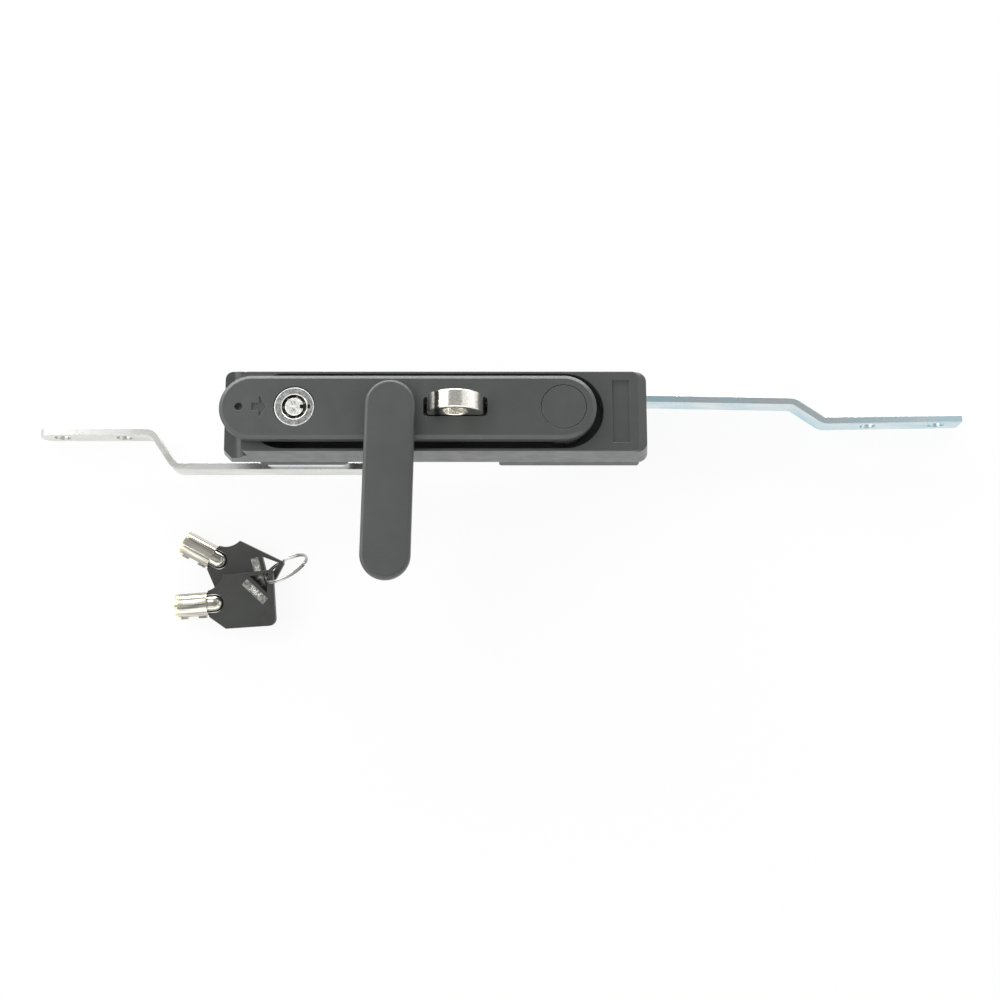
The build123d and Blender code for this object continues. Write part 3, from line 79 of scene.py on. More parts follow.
class Finish:
    """A material under construction: its nodes, its links and its shader."""

    def __init__(self, name, colour, metallic, roughness):
        self.material = bpy.data.materials.new(name)
        self.material.use_nodes = True
        self.material.diffuse_color = (*colour, 1)
        self.tree = self.material.node_tree
        self.nodes = self.tree.nodes
        self.links = self.tree.links
        self.shader = self.nodes["Principled BSDF"]
        self.shader.inputs["Base Color"].default_value = (*colour, 1)
        self.shader.inputs["Metallic"].default_value = metallic
        self.shader.inputs["Roughness"].default_value = roughness
        self.place = self.node("ShaderNodeTexCoord").outputs["Object"]

    def node(self, kind, **settings):
        """A new node with its settings."""
        made = self.nodes.new(kind)
        for key, value in settings.items():
            setattr(made, key, value)
        return made

    def stretched(self, scale, turn=(0, 0, 0)):
        """The piece's own coordinates, scaled unevenly for grain and brushing."""
        mapping = self.node("ShaderNodeMapping", vector_type="TEXTURE")
        mapping.inputs["Scale"].default_value = tuple(1 / share for share in scale)
        mapping.inputs["Rotation"].default_value = turn
        self.links.new(self.place, mapping.inputs["Vector"])
        return mapping.outputs["Vector"]

    def noise(self, size, detail=2.0, vector=None, rough=0.5):
        """Soft cloudy values whose lumps are about size across."""
        made = self.node("ShaderNodeTexNoise")
        made.inputs["Scale"].default_value = 1 / size
        made.inputs["Detail"].default_value = detail
        made.inputs["Roughness"].default_value = rough
        self.links.new(vector or self.place, made.inputs["Vector"])
        return made.outputs["Fac"]

    def cells(self, size):
        """How far each point is from the middle of its cell, in a scatter of cells about size across."""
        made = self.node("ShaderNodeTexVoronoi", feature="F1")
        made.inputs["Scale"].default_value = 1 / size
        self.links.new(self.place, made.inputs["Vector"])
        return made.outputs["Distance"]

    def remap(self, value, low, high, to_low, to_high):
        """A value carried from one range to another, and held at its ends."""
        made = self.node("ShaderNodeMapRange")
        for key, number in zip(("From Min", "From Max", "To Min", "To Max"), (low, high, to_low, to_high)):
            made.inputs[key].default_value = number
        self.links.new(value, made.inputs["Value"])
        return made.outputs["Result"]

    def mix(self, share, first, second, blend="MIX"):
        """A colour between two, each a socket or plain numbers."""
        made = self.node("ShaderNodeMix", data_type="RGBA", blend_type=blend)
        for socket, value in ((made.inputs[0], share), (made.inputs[6], first), (made.inputs[7], second)):
            if isinstance(value, bpy.types.NodeSocket):
                self.links.new(value, socket)
            elif isinstance(value, (int, float)):
                socket.default_value = value
            else:
                socket.default_value = (*value, 1)
        return made.outputs[2]

    def edges(self, radius):
        """1 along sharp edges and 0 on the flats, from how far a rounded normal leans."""
        bevel = self.node("ShaderNodeBevel", samples=4)
        bevel.inputs["Radius"].default_value = radius
        flat = self.node("ShaderNodeNewGeometry")
        dot = self.node("ShaderNodeVectorMath", operation="DOT_PRODUCT")
        self.links.new(bevel.outputs["Normal"], dot.inputs[0])
        self.links.new(flat.outputs["Normal"], dot.inputs[1])
        still_flat, well_round = 0.995, 0.86
        return self.remap(dot.outputs["Value"], still_flat, well_round, 0.0, 1.0)

    def relief(self, *layers, radius=0.0):
        """Bumps on the surface: pairs of a height and a depth, over a slightly eased edge."""
        normal = None
        if radius:
            bevel = self.node("ShaderNodeBevel", samples=4)
            bevel.inputs["Radius"].default_value = radius
            normal = bevel.outputs["Normal"]
        for height, depth in layers:
            bump = self.node("ShaderNodeBump")
            bump.inputs["Distance"].default_value = depth
            bump.inputs["Strength"].default_value = 1.0
            self.links.new(height, bump.inputs["Height"])
            if normal is not None:
                self.links.new(normal, bump.inputs["Normal"])
            normal = bump.outputs["Normal"]
        self.links.new(normal, self.shader.inputs["Normal"])

    def along(self, start, direction, near, far):
        """0 at near and 1 at far, measured from a point along a direction, in metres."""
        offset = self.node("ShaderNodeVectorMath", operation="SUBTRACT")
        offset.inputs[1].default_value = start
        self.links.new(self.place, offset.inputs[0])
        dot = self.node("ShaderNodeVectorMath", operation="DOT_PRODUCT")
        dot.inputs[1].default_value = direction
        self.links.new(offset.outputs["Vector"], dot.inputs[0])
        return self.remap(dot.outputs["Value"], near, far, 0.0, 1.0)

    def colour(self, value):
        """Paints the shader from a socket."""
        self.links.new(value, self.shader.inputs["Base Color"])

    def roughness(self, value):
        """Sets the shader's roughness from a socket."""
        self.links.new(value, self.shader.inputs["Roughness"])


def shade(colour, factor):
    """A colour made lighter or darker by a factor."""
    return tuple(min(1.0, c * factor) for c in colour)


def powder_coat(name, colour, roughness):
    """Dark fine-textured powder coat over a die casting, rubbed a little lighter at its edges."""
    f = Finish(name, colour, 0.0, roughness)
    cloud = f.noise(0.030, 3.0)
    speck = f.cells(0.00042)
    body = f.mix(f.remap(cloud, 0.35, 0.65, 0.0, 1.0), shade(colour, 0.94), shade(colour, 1.06))
    dusty = f.mix(f.remap(speck, 0.0, 0.55, 0.30, 0.0), body, shade(colour, 1.35))
    worn = f.mix(f.edges(0.00035), dusty, shade(colour, 1.55))
    f.colour(worn)
    f.roughness(f.remap(f.noise(0.006, 3.0), 0.3, 0.7, roughness - 0.05, roughness + 0.05))
    f.relief(
        (f.noise(0.0009, 2.0), 0.000035),
        (speck, 0.000022),
        radius=0.0003,
    )
    f.shader.inputs["IOR"].default_value = 1.5
    return f.material


def moulded(name, colour, roughness):
    """Black moulded plastic with a light spark-eroded grain."""
    f = Finish(name, colour, 0.0, roughness)
    pits = f.cells(0.00035)
    body = f.mix(f.remap(f.noise(0.012, 3.0), 0.3, 0.7, 0.0, 1.0), shade(colour, 0.9), shade(colour, 1.12))
    f.colour(f.mix(f.edges(0.0004), body, shade(colour, 1.6)))
    f.roughness(f.remap(f.noise(0.003, 2.0), 0.3, 0.7, roughness - 0.06, roughness + 0.06))
    f.relief((pits, 0.00002), radius=0.0003)
    return f.material


def plated(name, colour, roughness, streak=(1, 1, 1), turn=(0, 0, 0), scratch=0.000004, patch=0.85, worn=None,
           drawn_and_reflection_stripes=0.0):
    """Bright plating: faint cloudiness, hairline marks and softened edges.

    streak and turn stretch and aim the hairlines, patch darkens the cloudy places, and the stripes share
    darkens lines along the metal: drawn lines made darker as painted reflection stripes.
    worn = (start, direction, near, far, colour) lets another metal show before near, fading out at far.
    """
    f = Finish(name, colour, 1.0, roughness)
    hairs = f.noise(0.0006, 3.0, f.stretched(streak, turn), 0.65)
    cloud = f.noise(0.009, 3.0)
    body = f.mix(f.remap(cloud, 0.3, 0.7, 0.0, 1.0), shade(colour, patch), colour)
    if drawn_and_reflection_stripes:
        # Dark lines along the metal: drawn lines, made much darker as painted reflection stripes.
        drawn = f.noise(0.0011, 2.0, f.stretched(streak, turn), 0.6)
        body = f.mix(f.remap(drawn, 0.42, 0.60, 0.0, drawn_and_reflection_stripes), body, shade(colour, 0.28))
    if worn:
        start, direction, near, far, under = worn
        body = f.mix(f.along(start, direction, near, far), under, body)
    f.colour(f.mix(f.edges(0.00025), body, shade(colour, 1.12)))
    f.roughness(f.remap(hairs, 0.25, 0.75, roughness * 0.6, roughness * 1.5))
    f.relief((hairs, scratch), radius=0.00018)
    return f.material


def zinc(name, colour, tint, roughness=0.26):
    """Bright zinc plate on rolled bar: drawn along its length, with a cloudy passivated tint and a painted
    highlight along its edges.
    """
    f = Finish(name, colour, 1.0, roughness)
    drawn = f.noise(0.0005, 3.0, f.stretched((0.03, 1, 1)), 0.6)
    cloud = f.noise(0.011, 4.0, f.stretched((0.45, 1, 1)), 0.6)
    patch = f.mix(f.remap(cloud, 0.38, 0.62, 0.0, 1.0), colour, tint)
    marked = f.mix(f.remap(drawn, 0.55, 0.75, 0.0, 0.35), patch, shade(colour, 0.62))
    # Painted highlight: the colour is lighter along sharp edges, for the light line an edge catches.
    f.colour(f.mix(f.edges(0.0003), marked, shade(colour, 1.1)))
    f.roughness(f.remap(cloud, 0.3, 0.7, roughness - 0.08, roughness + 0.10))
    f.relief((drawn, 0.000006), (f.noise(0.002, 2.0), 0.00001), radius=0.0002)
    return f.material


def brushed_face(name, colour):
    """Satin plating on a turned face: cloudy patches and fine pits, with painted shade down the bore below the
    face.
    """
    f = Finish(name, colour, 1.0, 0.26)
    blotch = f.noise(0.0011, 3.0, rough=0.65)
    fine = f.noise(0.0004, 2.0)
    body = f.mix(f.remap(blotch, 0.36, 0.64, 0.0, 1.0), shade(colour, 0.70), shade(colour, 1.22))
    # Painted shade: more than about half a millimetre below the face, down the bore wall and in the notch, the
    # colour goes near black.
    level = f.along((0, 0, HANDLE_FACE), (0, 0, 1), -0.0006, -0.0003)
    f.colour(f.mix(level, (0.05, 0.05, 0.045), body))
    f.roughness(f.remap(blotch, 0.3, 0.7, 0.20, 0.36))
    f.relief((fine, 0.000012), radius=0.00018)
    return f.material


def eye_chrome(name, colour):
    """Thick chrome on a casting: wavy and mottled, with a painted dark reflection down its left shoulder."""
    f = Finish(name, colour, 1.0, 0.09)
    wave = f.noise(0.0016, 3.0, rough=0.6)
    grain = f.noise(0.0006, 3.0, rough=0.7)
    body = f.mix(f.remap(grain, 0.40, 0.60, 0.0, 1.0), shade(colour, 0.86), shade(colour, 1.08))
    # Painted reflection: a ragged dark band down the left shoulder stands in for the handle and dust cover
    # seen in the chrome.
    across = f.along((0.0015, 0, 0), (1, 0, 0), -0.00215, 0.00215)
    ragged = combined(f.tree, "MULTIPLY_ADD", grain, 0.5, across)
    rise = f.remap(ragged, 0.42, 0.58, 0.0, 1.0)
    fall = f.remap(ragged, 0.94, 1.08, 1.0, 0.0)
    painted_dark_reflection = combined(f.tree, "MULTIPLY", rise, fall)
    # the painted dark reflection is near black
    f.colour(f.mix(painted_dark_reflection, body, (0.035, 0.035, 0.03)))
    f.roughness(f.remap(grain, 0.3, 0.7, 0.12, 0.24))
    f.relief((wave, 0.000060), (grain, 0.000014), radius=0.00018)
    return f.material


def painted_highlight_rim(name, colour):
    """The narrow rims of the lock's face: a painted highlight, near white and mostly non-metallic, brighter
    than the satin between them.
    """
    f = Finish(name, colour, 0.15, 0.22)
    spots = f.noise(0.0012, 2.0)
    f.colour(f.mix(f.remap(spots, 0.35, 0.6, 0.0, 1.0), shade(colour, 0.72), shade(colour, 1.1)))
    f.roughness(f.remap(spots, 0.3, 0.7, 0.15, 0.3))
    f.relief((spots, 0.000006), radius=0.0001)
    return f.material


def plug_metal(name, colour):
    """The key post: bright on top, dull and dark down in the keyway, where the dark is painted shade."""
    f = Finish(name, colour, 0.45, 0.22)
    blotch = f.noise(0.0009, 3.0, rough=0.6)
    top = f.mix(f.remap(blotch, 0.38, 0.62, 0.0, 1.0), shade(colour, 0.82), shade(colour, 1.25))
    # Painted shade: below the top of the post the colour fades to near black down the keyway.
    height = f.along((0, 0, KEYWAY_FLOOR), (0, 0, 1), 0.0011, 0.0017)
    f.colour(f.mix(height, (0.055, 0.053, 0.042), top))
    f.roughness(f.remap(blotch, 0.3, 0.7, 0.16, 0.30))
    f.relief((blotch, 0.000012), radius=0.00015)
    return f.material


def mottled_strip(name, colour):
    """A thin stamped strip with grey and light patches."""
    f = Finish(name, colour, 1.0, 0.34)
    blotch = f.noise(0.0014, 3.0, rough=0.6)
    body = f.mix(f.remap(blotch, 0.38, 0.62, 0.0, 1.0), shade(colour, 0.55), shade(colour, 1.25))
    f.colour(f.mix(f.edges(0.0002), body, shade(colour, 1.5)))
    f.roughness(f.remap(blotch, 0.3, 0.7, 0.26, 0.42))
    f.relief((blotch, 0.00001), radius=0.00012)
    return f.material


def rubber(name, colour):
    """Matt black rubber with a little pale dust."""
    f = Finish(name, colour, 0.0, 0.75)
    dust = f.mix(f.remap(f.noise(0.004, 4.0), 0.4, 0.7, 0.0, 0.5), colour, shade(colour, 2.0))
    f.colour(dust)
    f.roughness(f.remap(f.noise(0.002, 2.0), 0.3, 0.7, 0.65, 0.85))
    f.relief((f.noise(0.0004, 2.0), 0.00002))
    return f.material


# ---- Places that the finishes and the new pieces share ------------------------------------------
HANDLE_FACE = 25.0 * MM
LOCK_X = -56.1 * MM
KEYWAY_FLOOR = 23.0 * MM
UPPER_KEY_TIP = (-106.6 * MM, -46.7 * MM, 0.0)
UPPER_KEY_TURN = math.radians(-28.3)
LOWER_KEY_TIP = (-108.9 * MM, -74.0 * MM, 0.0)
LOWER_KEY_TURN = math.radians(3.2)


def cut_end(tip, turn):
    """Brass showing where a key's rim was cut: from its tip, along its barrel."""
    return (tip, (math.cos(turn), math.sin(turn), 0.0), 0.0007, 0.0016, (0.78, 0.72, 0.42))


# ---- Finishes ------------------------------------------------------------------------------
finish = {
    "housing_coat": powder_coat("housing_coat", (0.060, 0.063, 0.062), 0.34),
    "handle_coat": powder_coat("handle_coat", (0.060, 0.065, 0.063), 0.38),
    "cover_coat": powder_coat("cover_coat", (0.062, 0.067, 0.065), 0.44),
    "case_coat": powder_coat("case_coat", (0.070, 0.073, 0.072), 0.55),
    "clamp_plastic": moulded("clamp_plastic", (0.040, 0.042, 0.041), 0.55),
    "bow_plastic": moulded("bow_plastic", (0.026, 0.028, 0.025), 0.40),
    "chrome": eye_chrome("chrome", (0.84, 0.82, 0.76)),
    "satin_chrome": brushed_face("satin_chrome", (0.52, 0.53, 0.52)),
    "plug_nickel": plug_metal("plug_nickel", (0.80, 0.80, 0.78)),
    "upper_key_nickel": plated("upper_key_nickel", (0.78, 0.75, 0.66), 0.14, streak=(0.03, 1, 1), drawn_and_reflection_stripes=0.75,
                               turn=(0, 0, UPPER_KEY_TURN), worn=cut_end(UPPER_KEY_TIP, UPPER_KEY_TURN)),
    "lower_key_nickel": plated("lower_key_nickel", (0.78, 0.75, 0.66), 0.14, streak=(0.03, 1, 1), drawn_and_reflection_stripes=0.75,
                               turn=(0, 0, LOWER_KEY_TURN), worn=cut_end(LOWER_KEY_TIP, LOWER_KEY_TURN)),
    "ring_nickel": plated("ring_nickel", (0.47, 0.47, 0.45), 0.14),
    # The pins' brass is painted dark as painted shade, for pins that sit in shadow inside the lock.
    "shade_darkened_brass_pin": plated("shade_darkened_brass_pin", (0.42, 0.37, 0.22), 0.30),
    "tag_metal": mottled_strip("tag_metal", (0.30, 0.30, 0.28)),
    "stamped_digits": plated("stamped_digits", (0.86, 0.85, 0.80), 0.3),
    "painted_highlight_rim": painted_highlight_rim("painted_highlight_rim", (0.86, 0.86, 0.84)),
    "engraved_digits": plated("engraved_digits", (0.22, 0.22, 0.21), 0.4),
    "steel": plated("steel", (0.52, 0.52, 0.51), 0.32, streak=(1, 1, 0.1), patch=0.75),
    "sintered": plated("sintered", (0.30, 0.30, 0.31), 0.42, scratch=0.00001, patch=0.7),
    "left_rod_zinc": zinc("left_rod_zinc", (0.74, 0.73, 0.70), (0.64, 0.65, 0.63)),
    "right_rod_zinc": zinc("right_rod_zinc", (0.70, 0.76, 0.78), (0.48, 0.68, 0.75)),
    "plate_zinc": zinc("plate_zinc", (0.72, 0.74, 0.75), (0.66, 0.71, 0.74), 0.3),
    "rubber": rubber("rubber", (0.022, 0.022, 0.023)),
}
worn_by = {
    "housing": "housing_coat", "handle": "handle_coat", "dust_cover": "cover_coat", "gear_case": "case_coat",
    "pivot_cap": "handle_coat", "clamp_pad": "clamp_plastic", "clamp_plate": "plate_zinc",
    "clamp_screws": "plate_zinc", "case_screws": "plate_zinc", "case_cover": "plate_zinc",
    "case_cover_screws": "plate_zinc", "padlock_eye": "chrome", "eye_screws": "steel", "drive_drum": "steel",
    "drum_seal": "rubber", "hinge_pin": "steel", "lock_barrel": "satin_chrome", "lock_nut": "steel",
    "lock_plug": "plug_nickel", "lock_pins": "shade_darkened_brass_pin", "lock_cam": "plate_zinc", "cam_screw": "steel",
    "cover_stud": "steel", "spring_washer": "steel", "cover_clip": "steel", "drive_pinion": "sintered",
    "pinion_washer": "plate_zinc", "pinion_screw": "plate_zinc", "rack_left": "left_rod_zinc",
    "rack_right": "right_rod_zinc", "rod_left": "left_rod_zinc", "rod_right": "right_rod_zinc",
    "left_rod_rivets": "steel", "right_rod_rivets": "steel",
    "upper_key_shank": "upper_key_nickel", "upper_key_bow": "bow_plastic", "upper_key_tag": "tag_metal",
    "lower_key_shank": "lower_key_nickel", "lower_key_bow": "bow_plastic", "lower_key_tag": "tag_metal",
    "key_ring": "ring_nickel",
}
for name, coat in worn_by.items():
    slots = nodes[name].data.materials
    slots.clear()
    slots.append(finish[coat])


# ---- New pieces ------------------------------------------------------------------------------
def finished(name, shape, body, coat, sharp=38.0):
    """A piece from its worked shape: on a body, with a finish and smooth shading."""
    bmesh.ops.remove_doubles(shape, verts=shape.verts, dist=0.001 * MM)
    bmesh.ops.recalc_face_normals(shape, faces=shape.faces)
    mesh = bpy.data.meshes.new(name)
    shape.to_mesh(mesh)
    shape.free()
    mesh.shade_smooth()
    mesh.set_sharp_from_angle(angle=math.radians(sharp))
    mesh.materials.append(finish[coat])
    piece = bpy.data.objects.new(name, mesh)
    bpy.context.scene.collection.objects.link(piece)
    even = piece.modifiers.new("even_shading", "WEIGHTED_NORMAL")
    even.keep_sharp = True
    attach(piece, body)
    return piece


def turned(shape, profile, centre, steps):
    """A closed profile of (radius, height) points in millimetres, spun round the upright axis at centre."""
    corners = [shape.verts.new((radius * MM, 0, height * MM)) for radius, height in profile]
    edges = [shape.edges.new(pair) for pair in zip(corners, corners[1:] + corners[:1])]
    bmesh.ops.spin(shape, geom=corners + edges, cent=(0, 0, 0), axis=(0, 0, 1), angle=math.tau, steps=steps,
                   use_merge=True, use_duplicate=False)
    bmesh.ops.translate(shape, verts=shape.verts, vec=centre)


def moved_corners(geometry):
    """The corners among the faces, edges and corners that an extrusion made."""
    return [part for part in geometry if isinstance(part, bmesh.types.BMVert)]


def sink(shape, low, high, top, depth):
    """Sinks the flat top faces inside a rectangle by a depth, after cutting its outline into them."""
    reach = 2.0 * MM
    for corner, direction in ((low, (1, 0, 0)), (high, (1, 0, 0)), (low, (0, 1, 0)), (high, (0, 1, 0))):
        near = [f for f in shape.faces if inside(f.calc_center_median(), low, high, reach)]
        parts = near + list({e for f in near for e in f.edges}) + list({v for f in near for v in f.verts})
        bmesh.ops.bisect_plane(shape, geom=parts, dist=0.0, plane_co=(*corner, 0), plane_no=direction)
    level = 0.02 * MM
    flat = [f for f in shape.faces
            if inside(f.calc_center_median(), low, high, 0.0) and abs(f.calc_center_median().z - top) < level]
    moved = bmesh.ops.extrude_face_region(shape, geom=flat)["geom"]
    bmesh.ops.delete(shape, geom=flat, context="FACES_ONLY")
    bmesh.ops.translate(shape, vec=(0, 0, -depth), verts=moved_corners(moved))


def inside(point, low, high, spare):
    """Whether a point seen from above lies in a rectangle grown by a spare width."""
    return low[0] - spare < point.x < high[0] + spare and low[1] - spare < point.y < high[1] + spare


def padlock_eye():
    """The plated eye: an arched plate with a hole, on its foot."""
    middle, crown = Vector((8.6, 0, 26.9)) * MM, 11.3 * MM
    hole, hole_radius = Vector((8.6, 0, 30.6)) * MM, 5.3 * MM
    half_thickness, rounding = 3.7 * MM, 0.7 * MM
    foot_size, foot_level, hidden_level = Vector((37.8, 13.0, 2.6)) * MM, 4.8 * MM, 14 * MM
    steps = 128
    shape = bmesh.new()
    upright = Matrix.Rotation(math.radians(90), 3, "X")
    rim = bmesh.ops.create_circle(shape, segments=steps, radius=crown)["verts"]
    bmesh.ops.rotate(shape, verts=rim, matrix=upright)
    # below its middle the round rim is squared out, down to the foot
    for corner in rim:
        reach = max(abs(corner.co.x), abs(corner.co.z))
        if corner.co.z < -1e-7:
            corner.co = (corner.co.x * crown / reach, 0, corner.co.z * (middle.z - foot_level) / reach)
    bmesh.ops.translate(shape, verts=rim, vec=middle)
    bore = bmesh.ops.create_circle(shape, segments=steps, radius=hole_radius)["verts"]
    bmesh.ops.rotate(shape, verts=bore, matrix=upright)
    bmesh.ops.translate(shape, verts=bore, vec=hole)
    side = bmesh.ops.bridge_loops(shape, edges=shape.edges)["faces"]
    bmesh.ops.translate(shape, verts=shape.verts, vec=(0, -half_thickness, 0))
    moved = bmesh.ops.extrude_face_region(shape, geom=side, use_keep_orig=True)["geom"]
    bmesh.ops.translate(shape, vec=(0, 2 * half_thickness, 0), verts=moved_corners(moved))
    bmesh.ops.recalc_face_normals(shape, faces=shape.faces)
    edges = [e for e in shape.edges if len(e.link_faces) == 2 and e.calc_face_angle() > math.radians(60)
             and abs(e.verts[0].co.y - e.verts[1].co.y) < 1e-6 and max(v.co.z for v in e.verts) > hidden_level]
    bmesh.ops.bevel(shape, geom=edges, offset=rounding, offset_type="OFFSET", segments=5, profile=0.5,
                    affect="EDGES", material=-1, clamp_overlap=False)
    foot = bmesh.ops.create_cube(shape, size=1.0)["verts"]
    bmesh.ops.scale(shape, verts=foot, vec=foot_size)
    bmesh.ops.translate(shape, verts=foot, vec=(middle.x, 0, foot_level + foot_size.z / 2))
    piece = finished("bright_eye", shape, "frame", "chrome")
    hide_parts("padlock_eye")


def lock_head():
    """The turned head and body of the lock, with the key's notch and the index line. Millimetres."""
    face, seat, foot = 24.95, 23.55, 11.5
    head, body, keyway, rounding, lead_in = 8.1, 6.3, 5.0, 0.5, 0.35
    bends = [math.radians(angle) for angle in range(0, 91, 15)]
    shoulder = [(head - rounding + rounding * math.cos(bend), face - rounding + rounding * math.sin(bend))
                for bend in bends]
    profile = [(keyway, foot), (body, foot), (body, seat), (head, seat)]
    profile += shoulder + [(keyway + lead_in, face), (keyway, face - 0.25)]
    shape = bmesh.new()
    turned(shape, profile, (LOCK_X, 0, 0), 128)
    bmesh.ops.recalc_face_normals(shape, faces=shape.faces)
    notch_half, notch_inner, notch_outer, notch_depth = 0.925, 4.2, 6.5, 0.9
    sink(shape, (LOCK_X + notch_inner * MM, -notch_half * MM), (LOCK_X + notch_outer * MM, notch_half * MM),
         face * MM, notch_depth * MM)
    line_half, line_outer, line_inner, line_depth = 0.175, 7.6, 6.4, 0.15
    sink(shape, (LOCK_X - line_half * MM, -line_outer * MM), (LOCK_X + line_half * MM, -line_inner * MM),
         face * MM, line_depth * MM)
    piece = finished("turned_lock_head", shape, "lever", "satin_chrome", 30.0)
    piece.data.materials.append(finish["painted_highlight_rim"])
    # Faces on the outer rim and round the keyway's lip take the painted highlight finish.
    outer_rim, inner_rim, rim_level = head - rounding, (4.99, 5.4), 0.45
    for face_part in piece.data.polygons:
        middle = face_part.center
        out = math.hypot(middle.x - LOCK_X, middle.y)
        on_rim = out > outer_rim * MM or (inner_rim[0] * MM < out < inner_rim[1] * MM)
        if middle.z > (face - rim_level) * MM and on_rim:
            face_part.material_index = 1
    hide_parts("lock_barrel")


def split_ring():
    """Two turns of flattened wire lying side by side, stepped across once, its upper end sprung open."""
    radius, wire_half, layer, sprung = 9.7 * MM, 0.43 * MM, 0.80 * MM, 0.55 * MM
    flattened = (1.04, 0.82, 1.0)
    middle = Vector((-62.94, -59.15, -13.52)) * MM
    facing, tilt, seam = math.radians(120.0), math.radians(57.7), math.radians(-5)
    shape = bmesh.new()
    section = bmesh.ops.create_circle(shape, segments=16, radius=wire_half)["verts"]
    bmesh.ops.scale(shape, verts=section, vec=flattened)
    bmesh.ops.rotate(shape, verts=section, matrix=Matrix.Rotation(math.radians(90), 3, "X"))
    bmesh.ops.translate(shape, verts=section, vec=(radius, 0, -layer / 2))
    wire = list(shape.edges) + list(shape.verts)
    for sweep, steps, rise in ((340, 90, 0.0), (30, 10, layer), (306, 82, 0.0), (30, 10, sprung)):
        wire = bmesh.ops.spin(shape, geom=wire, cent=(0, 0, 0), axis=(0, 0, 1), dvec=(0, 0, rise / steps),
                              angle=math.radians(sweep), steps=steps, use_merge=False,
                              use_duplicate=False)["geom_last"]
    bmesh.ops.holes_fill(shape, edges=[e for e in shape.edges if e.is_boundary], sides=0)
    lean = Matrix.Rotation(facing, 3, "Z") @ Matrix.Rotation(tilt, 3, "Y")
    bmesh.ops.rotate(shape, verts=shape.verts, matrix=lean @ Matrix.Rotation(seam, 3, "Z"))
    bmesh.ops.translate(shape, verts=shape.verts, vec=middle)
    piece = finished("wound_key_ring", shape, "frame", "ring_nickel")
    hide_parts("key_ring")


def digits(name, words, size, place, body, coat):
    """Numbers as thin raised metal, set by a matrix on a face."""
    letters = bpy.data.curves.new(name, "FONT")
    letters.body = words
    letters.size = size
    letters.extrude = 0.02 * MM
    letters.align_x = "CENTER"
    letters.align_y = "CENTER"
    letters.resolution_u = 4
    flat = bpy.data.objects.new(name + "_flat", letters)
    bpy.context.scene.collection.objects.link(flat)
    bpy.context.view_layer.update()
    source = bpy.data.meshes.new_from_object(flat)
    bpy.data.objects.remove(flat)
    source.transform(place)
    shape = bmesh.new()
    shape.from_mesh(source)
    bpy.data.meshes.remove(source)
    finished(name, shape, body, coat, 30.0)


def face_of(name):
    """The place of the largest face of a flat strip: its middle, its long way and its outward normal."""
    shape = bmesh.new()
    shape.from_mesh(nodes[name].data)
    bmesh.ops.remove_doubles(shape, verts=shape.verts, dist=0.002 * MM)
    bmesh.ops.dissolve_limit(shape, angle_limit=math.radians(2), verts=shape.verts, edges=shape.edges)
    facing_up = [f for f in shape.faces if f.normal.z > 0.3]
    top = max(facing_up, key=lambda f: f.calc_area())
    side = max(top.edges, key=lambda e: e.calc_length())
    along = (side.verts[1].co - side.verts[0].co).normalized()
    if along.x < 0:
        along = -along
    place = Matrix.Identity(4)
    middle = top.calc_center_median().copy()
    normal = top.normal.copy()
    for column, axis in enumerate((along, normal.cross(along), normal)):
        for row in range(3):
            place[row][column] = axis[row]
    clear = 0.01 * MM
    place.translation = middle + normal * clear
    shape.free()
    return place


padlock_eye()
lock_head()
split_ring()

for name in ("upper_key", "lower_key"):
    digits(name + "_number", "3864", 2.9 * MM, face_of(name + "_tag"), "frame", "stamped_digits")
POST_TOP = HANDLE_FACE - 0.04 * MM
for row, words in ((1.25, "57"), (-1.25, "26")):
    middle = Vector((LOCK_X - 0.4 * MM, row * MM, POST_TOP))
    digits("post_number_" + words, words, 2.1 * MM, Matrix.Translation(middle),
           "plug", "engraved_digits")

# ---- Floor, lamps and room -------------------------------------------------------------------
FLOOR = min(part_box(name)[0].z for name in nodes) - 0.2 * MM


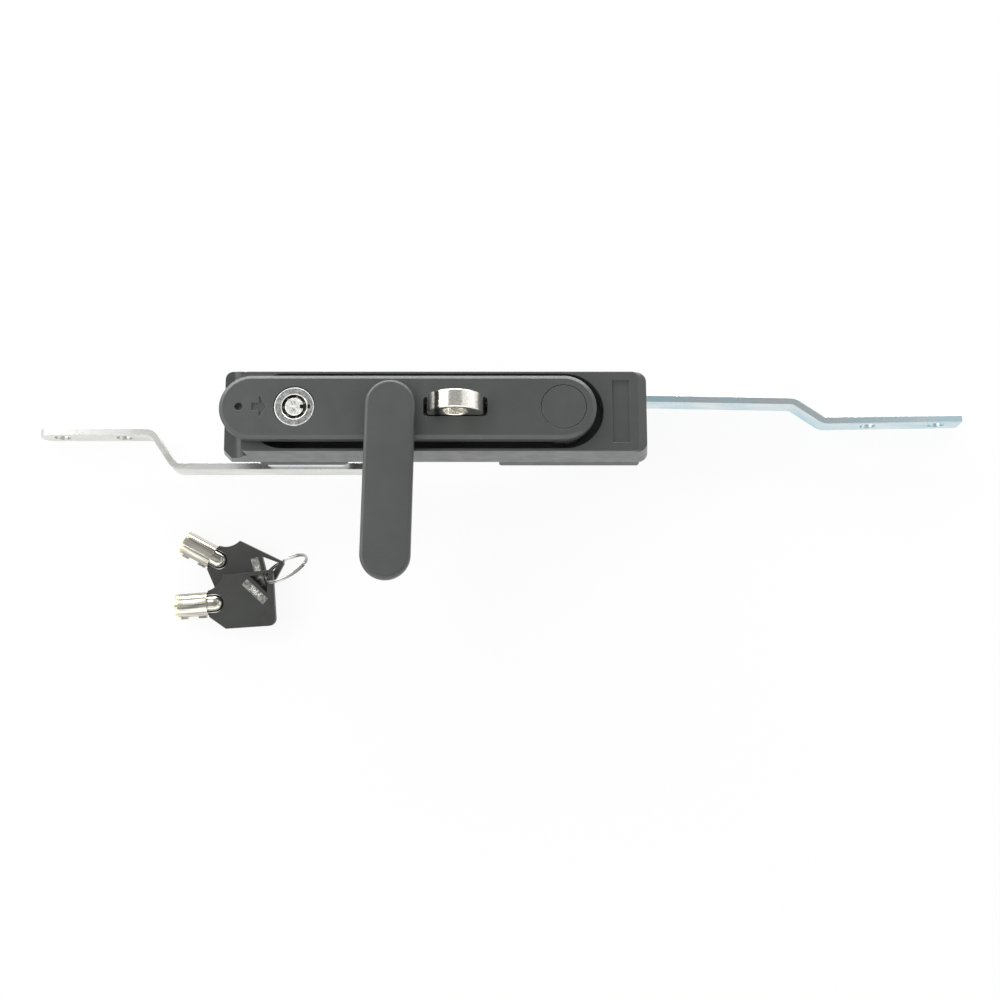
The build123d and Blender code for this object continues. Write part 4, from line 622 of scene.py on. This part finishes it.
def white_floor(half_width):
    """A white sheet that looks clean white to the camera and still takes a faint shadow."""
    shape = bmesh.new()
    bmesh.ops.create_grid(shape, x_segments=1, y_segments=1, size=half_width)
    bmesh.ops.translate(shape, verts=shape.verts, vec=(0, 0, FLOOR))
    mesh = bpy.data.meshes.new("floor")
    shape.to_mesh(mesh)
    shape.free()
    sheet = bpy.data.objects.new("floor", mesh)
    bpy.context.scene.collection.objects.link(sheet)
    paper = bpy.data.materials.new("floor")
    paper.use_nodes = True
    tree = paper.node_tree
    tree.nodes.clear()
    path = tree.nodes.new("ShaderNodeLightPath")
    seen = combined(tree, "MAXIMUM", path.outputs["Is Camera Ray"], path.outputs["Is Glossy Ray"])
    shadowless_share = 0.9
    share = combined(tree, "MULTIPLY", seen, shadowless_share)
    matt = tree.nodes.new("ShaderNodeBsdfDiffuse")
    matt.inputs["Color"].default_value = (0.86, 0.86, 0.86, 1)
    glow = tree.nodes.new("ShaderNodeEmission")
    glow.inputs["Color"].default_value = (1, 1, 1, 1)
    glow.inputs["Strength"].default_value = 1.0
    blend = tree.nodes.new("ShaderNodeMixShader")
    for socket, value in zip(blend.inputs, (share, matt.outputs[0], glow.outputs[0])):
        tree.links.new(value, socket)
    out = tree.nodes.new("ShaderNodeOutputMaterial")
    tree.links.new(blend.outputs[0], out.inputs["Surface"])
    mesh.materials.append(paper)


def lamp(name, place, width, height, watts):
    """A rectangular softbox aimed at the middle of the lock."""
    aim = Vector((0.0, 0.0, 0.02))
    light = bpy.data.lights.new(name, "AREA")
    light.shape = "RECTANGLE"
    light.size = width
    light.size_y = height
    light.energy = watts
    holder = bpy.data.objects.new(name, light)
    holder.location = place
    holder.rotation_euler = (Vector(place) - aim).to_track_quat("Z", "Y").to_euler()
    bpy.context.scene.collection.objects.link(holder)


def studio_room(ambient, wall):
    """Even white light; metal also sees walls brighter than the ceiling, and the camera sees plain white."""
    world = bpy.data.worlds.new("studio")
    world.use_nodes = True
    tree = world.node_tree
    back = tree.nodes["Background"]
    back.inputs["Color"].default_value = (1, 1, 1, 1)
    path = tree.nodes.new("ShaderNodeLightPath")
    split = tree.nodes.new("ShaderNodeSeparateXYZ")
    tree.links.new(tree.nodes.new("ShaderNodeTexCoord").outputs["Generated"], split.inputs[0])
    fade = tree.nodes.new("ShaderNodeMapRange")
    wall_top, ceiling_start = 0.10, 0.70  # upward shares of a direction one long
    for key, number in (("From Min", wall_top), ("From Max", ceiling_start), ("To Min", wall - ambient),
                        ("To Max", 0.0)):
        fade.inputs[key].default_value = number
    tree.links.new(split.outputs["Z"], fade.inputs["Value"])
    seen = combined(tree, "MAXIMUM", path.outputs["Is Camera Ray"], path.outputs["Is Transmission Ray"])
    level = combined(tree, "MULTIPLY_ADD", path.outputs["Is Glossy Ray"], fade.outputs["Result"], ambient)
    tree.links.new(combined(tree, "MAXIMUM", level, seen), back.inputs["Strength"])
    bpy.context.scene.world = world


white_floor(2.0)
lamp("low_back_strip", (-0.10, 0.75, 0.15), 1.6, 0.30, 14.0)
lamp("left_softbox", (-0.62, 0.10, 0.52), 1.0, 0.62, 4.6)
lamp("right_softbox", (0.75, 0.10, 0.50), 1.0, 0.90, 1.6)
lamp("front_fill", (0.0, -0.75, 0.32), 1.6, 0.55, 4.0)
studio_room(0.45, 0.95)
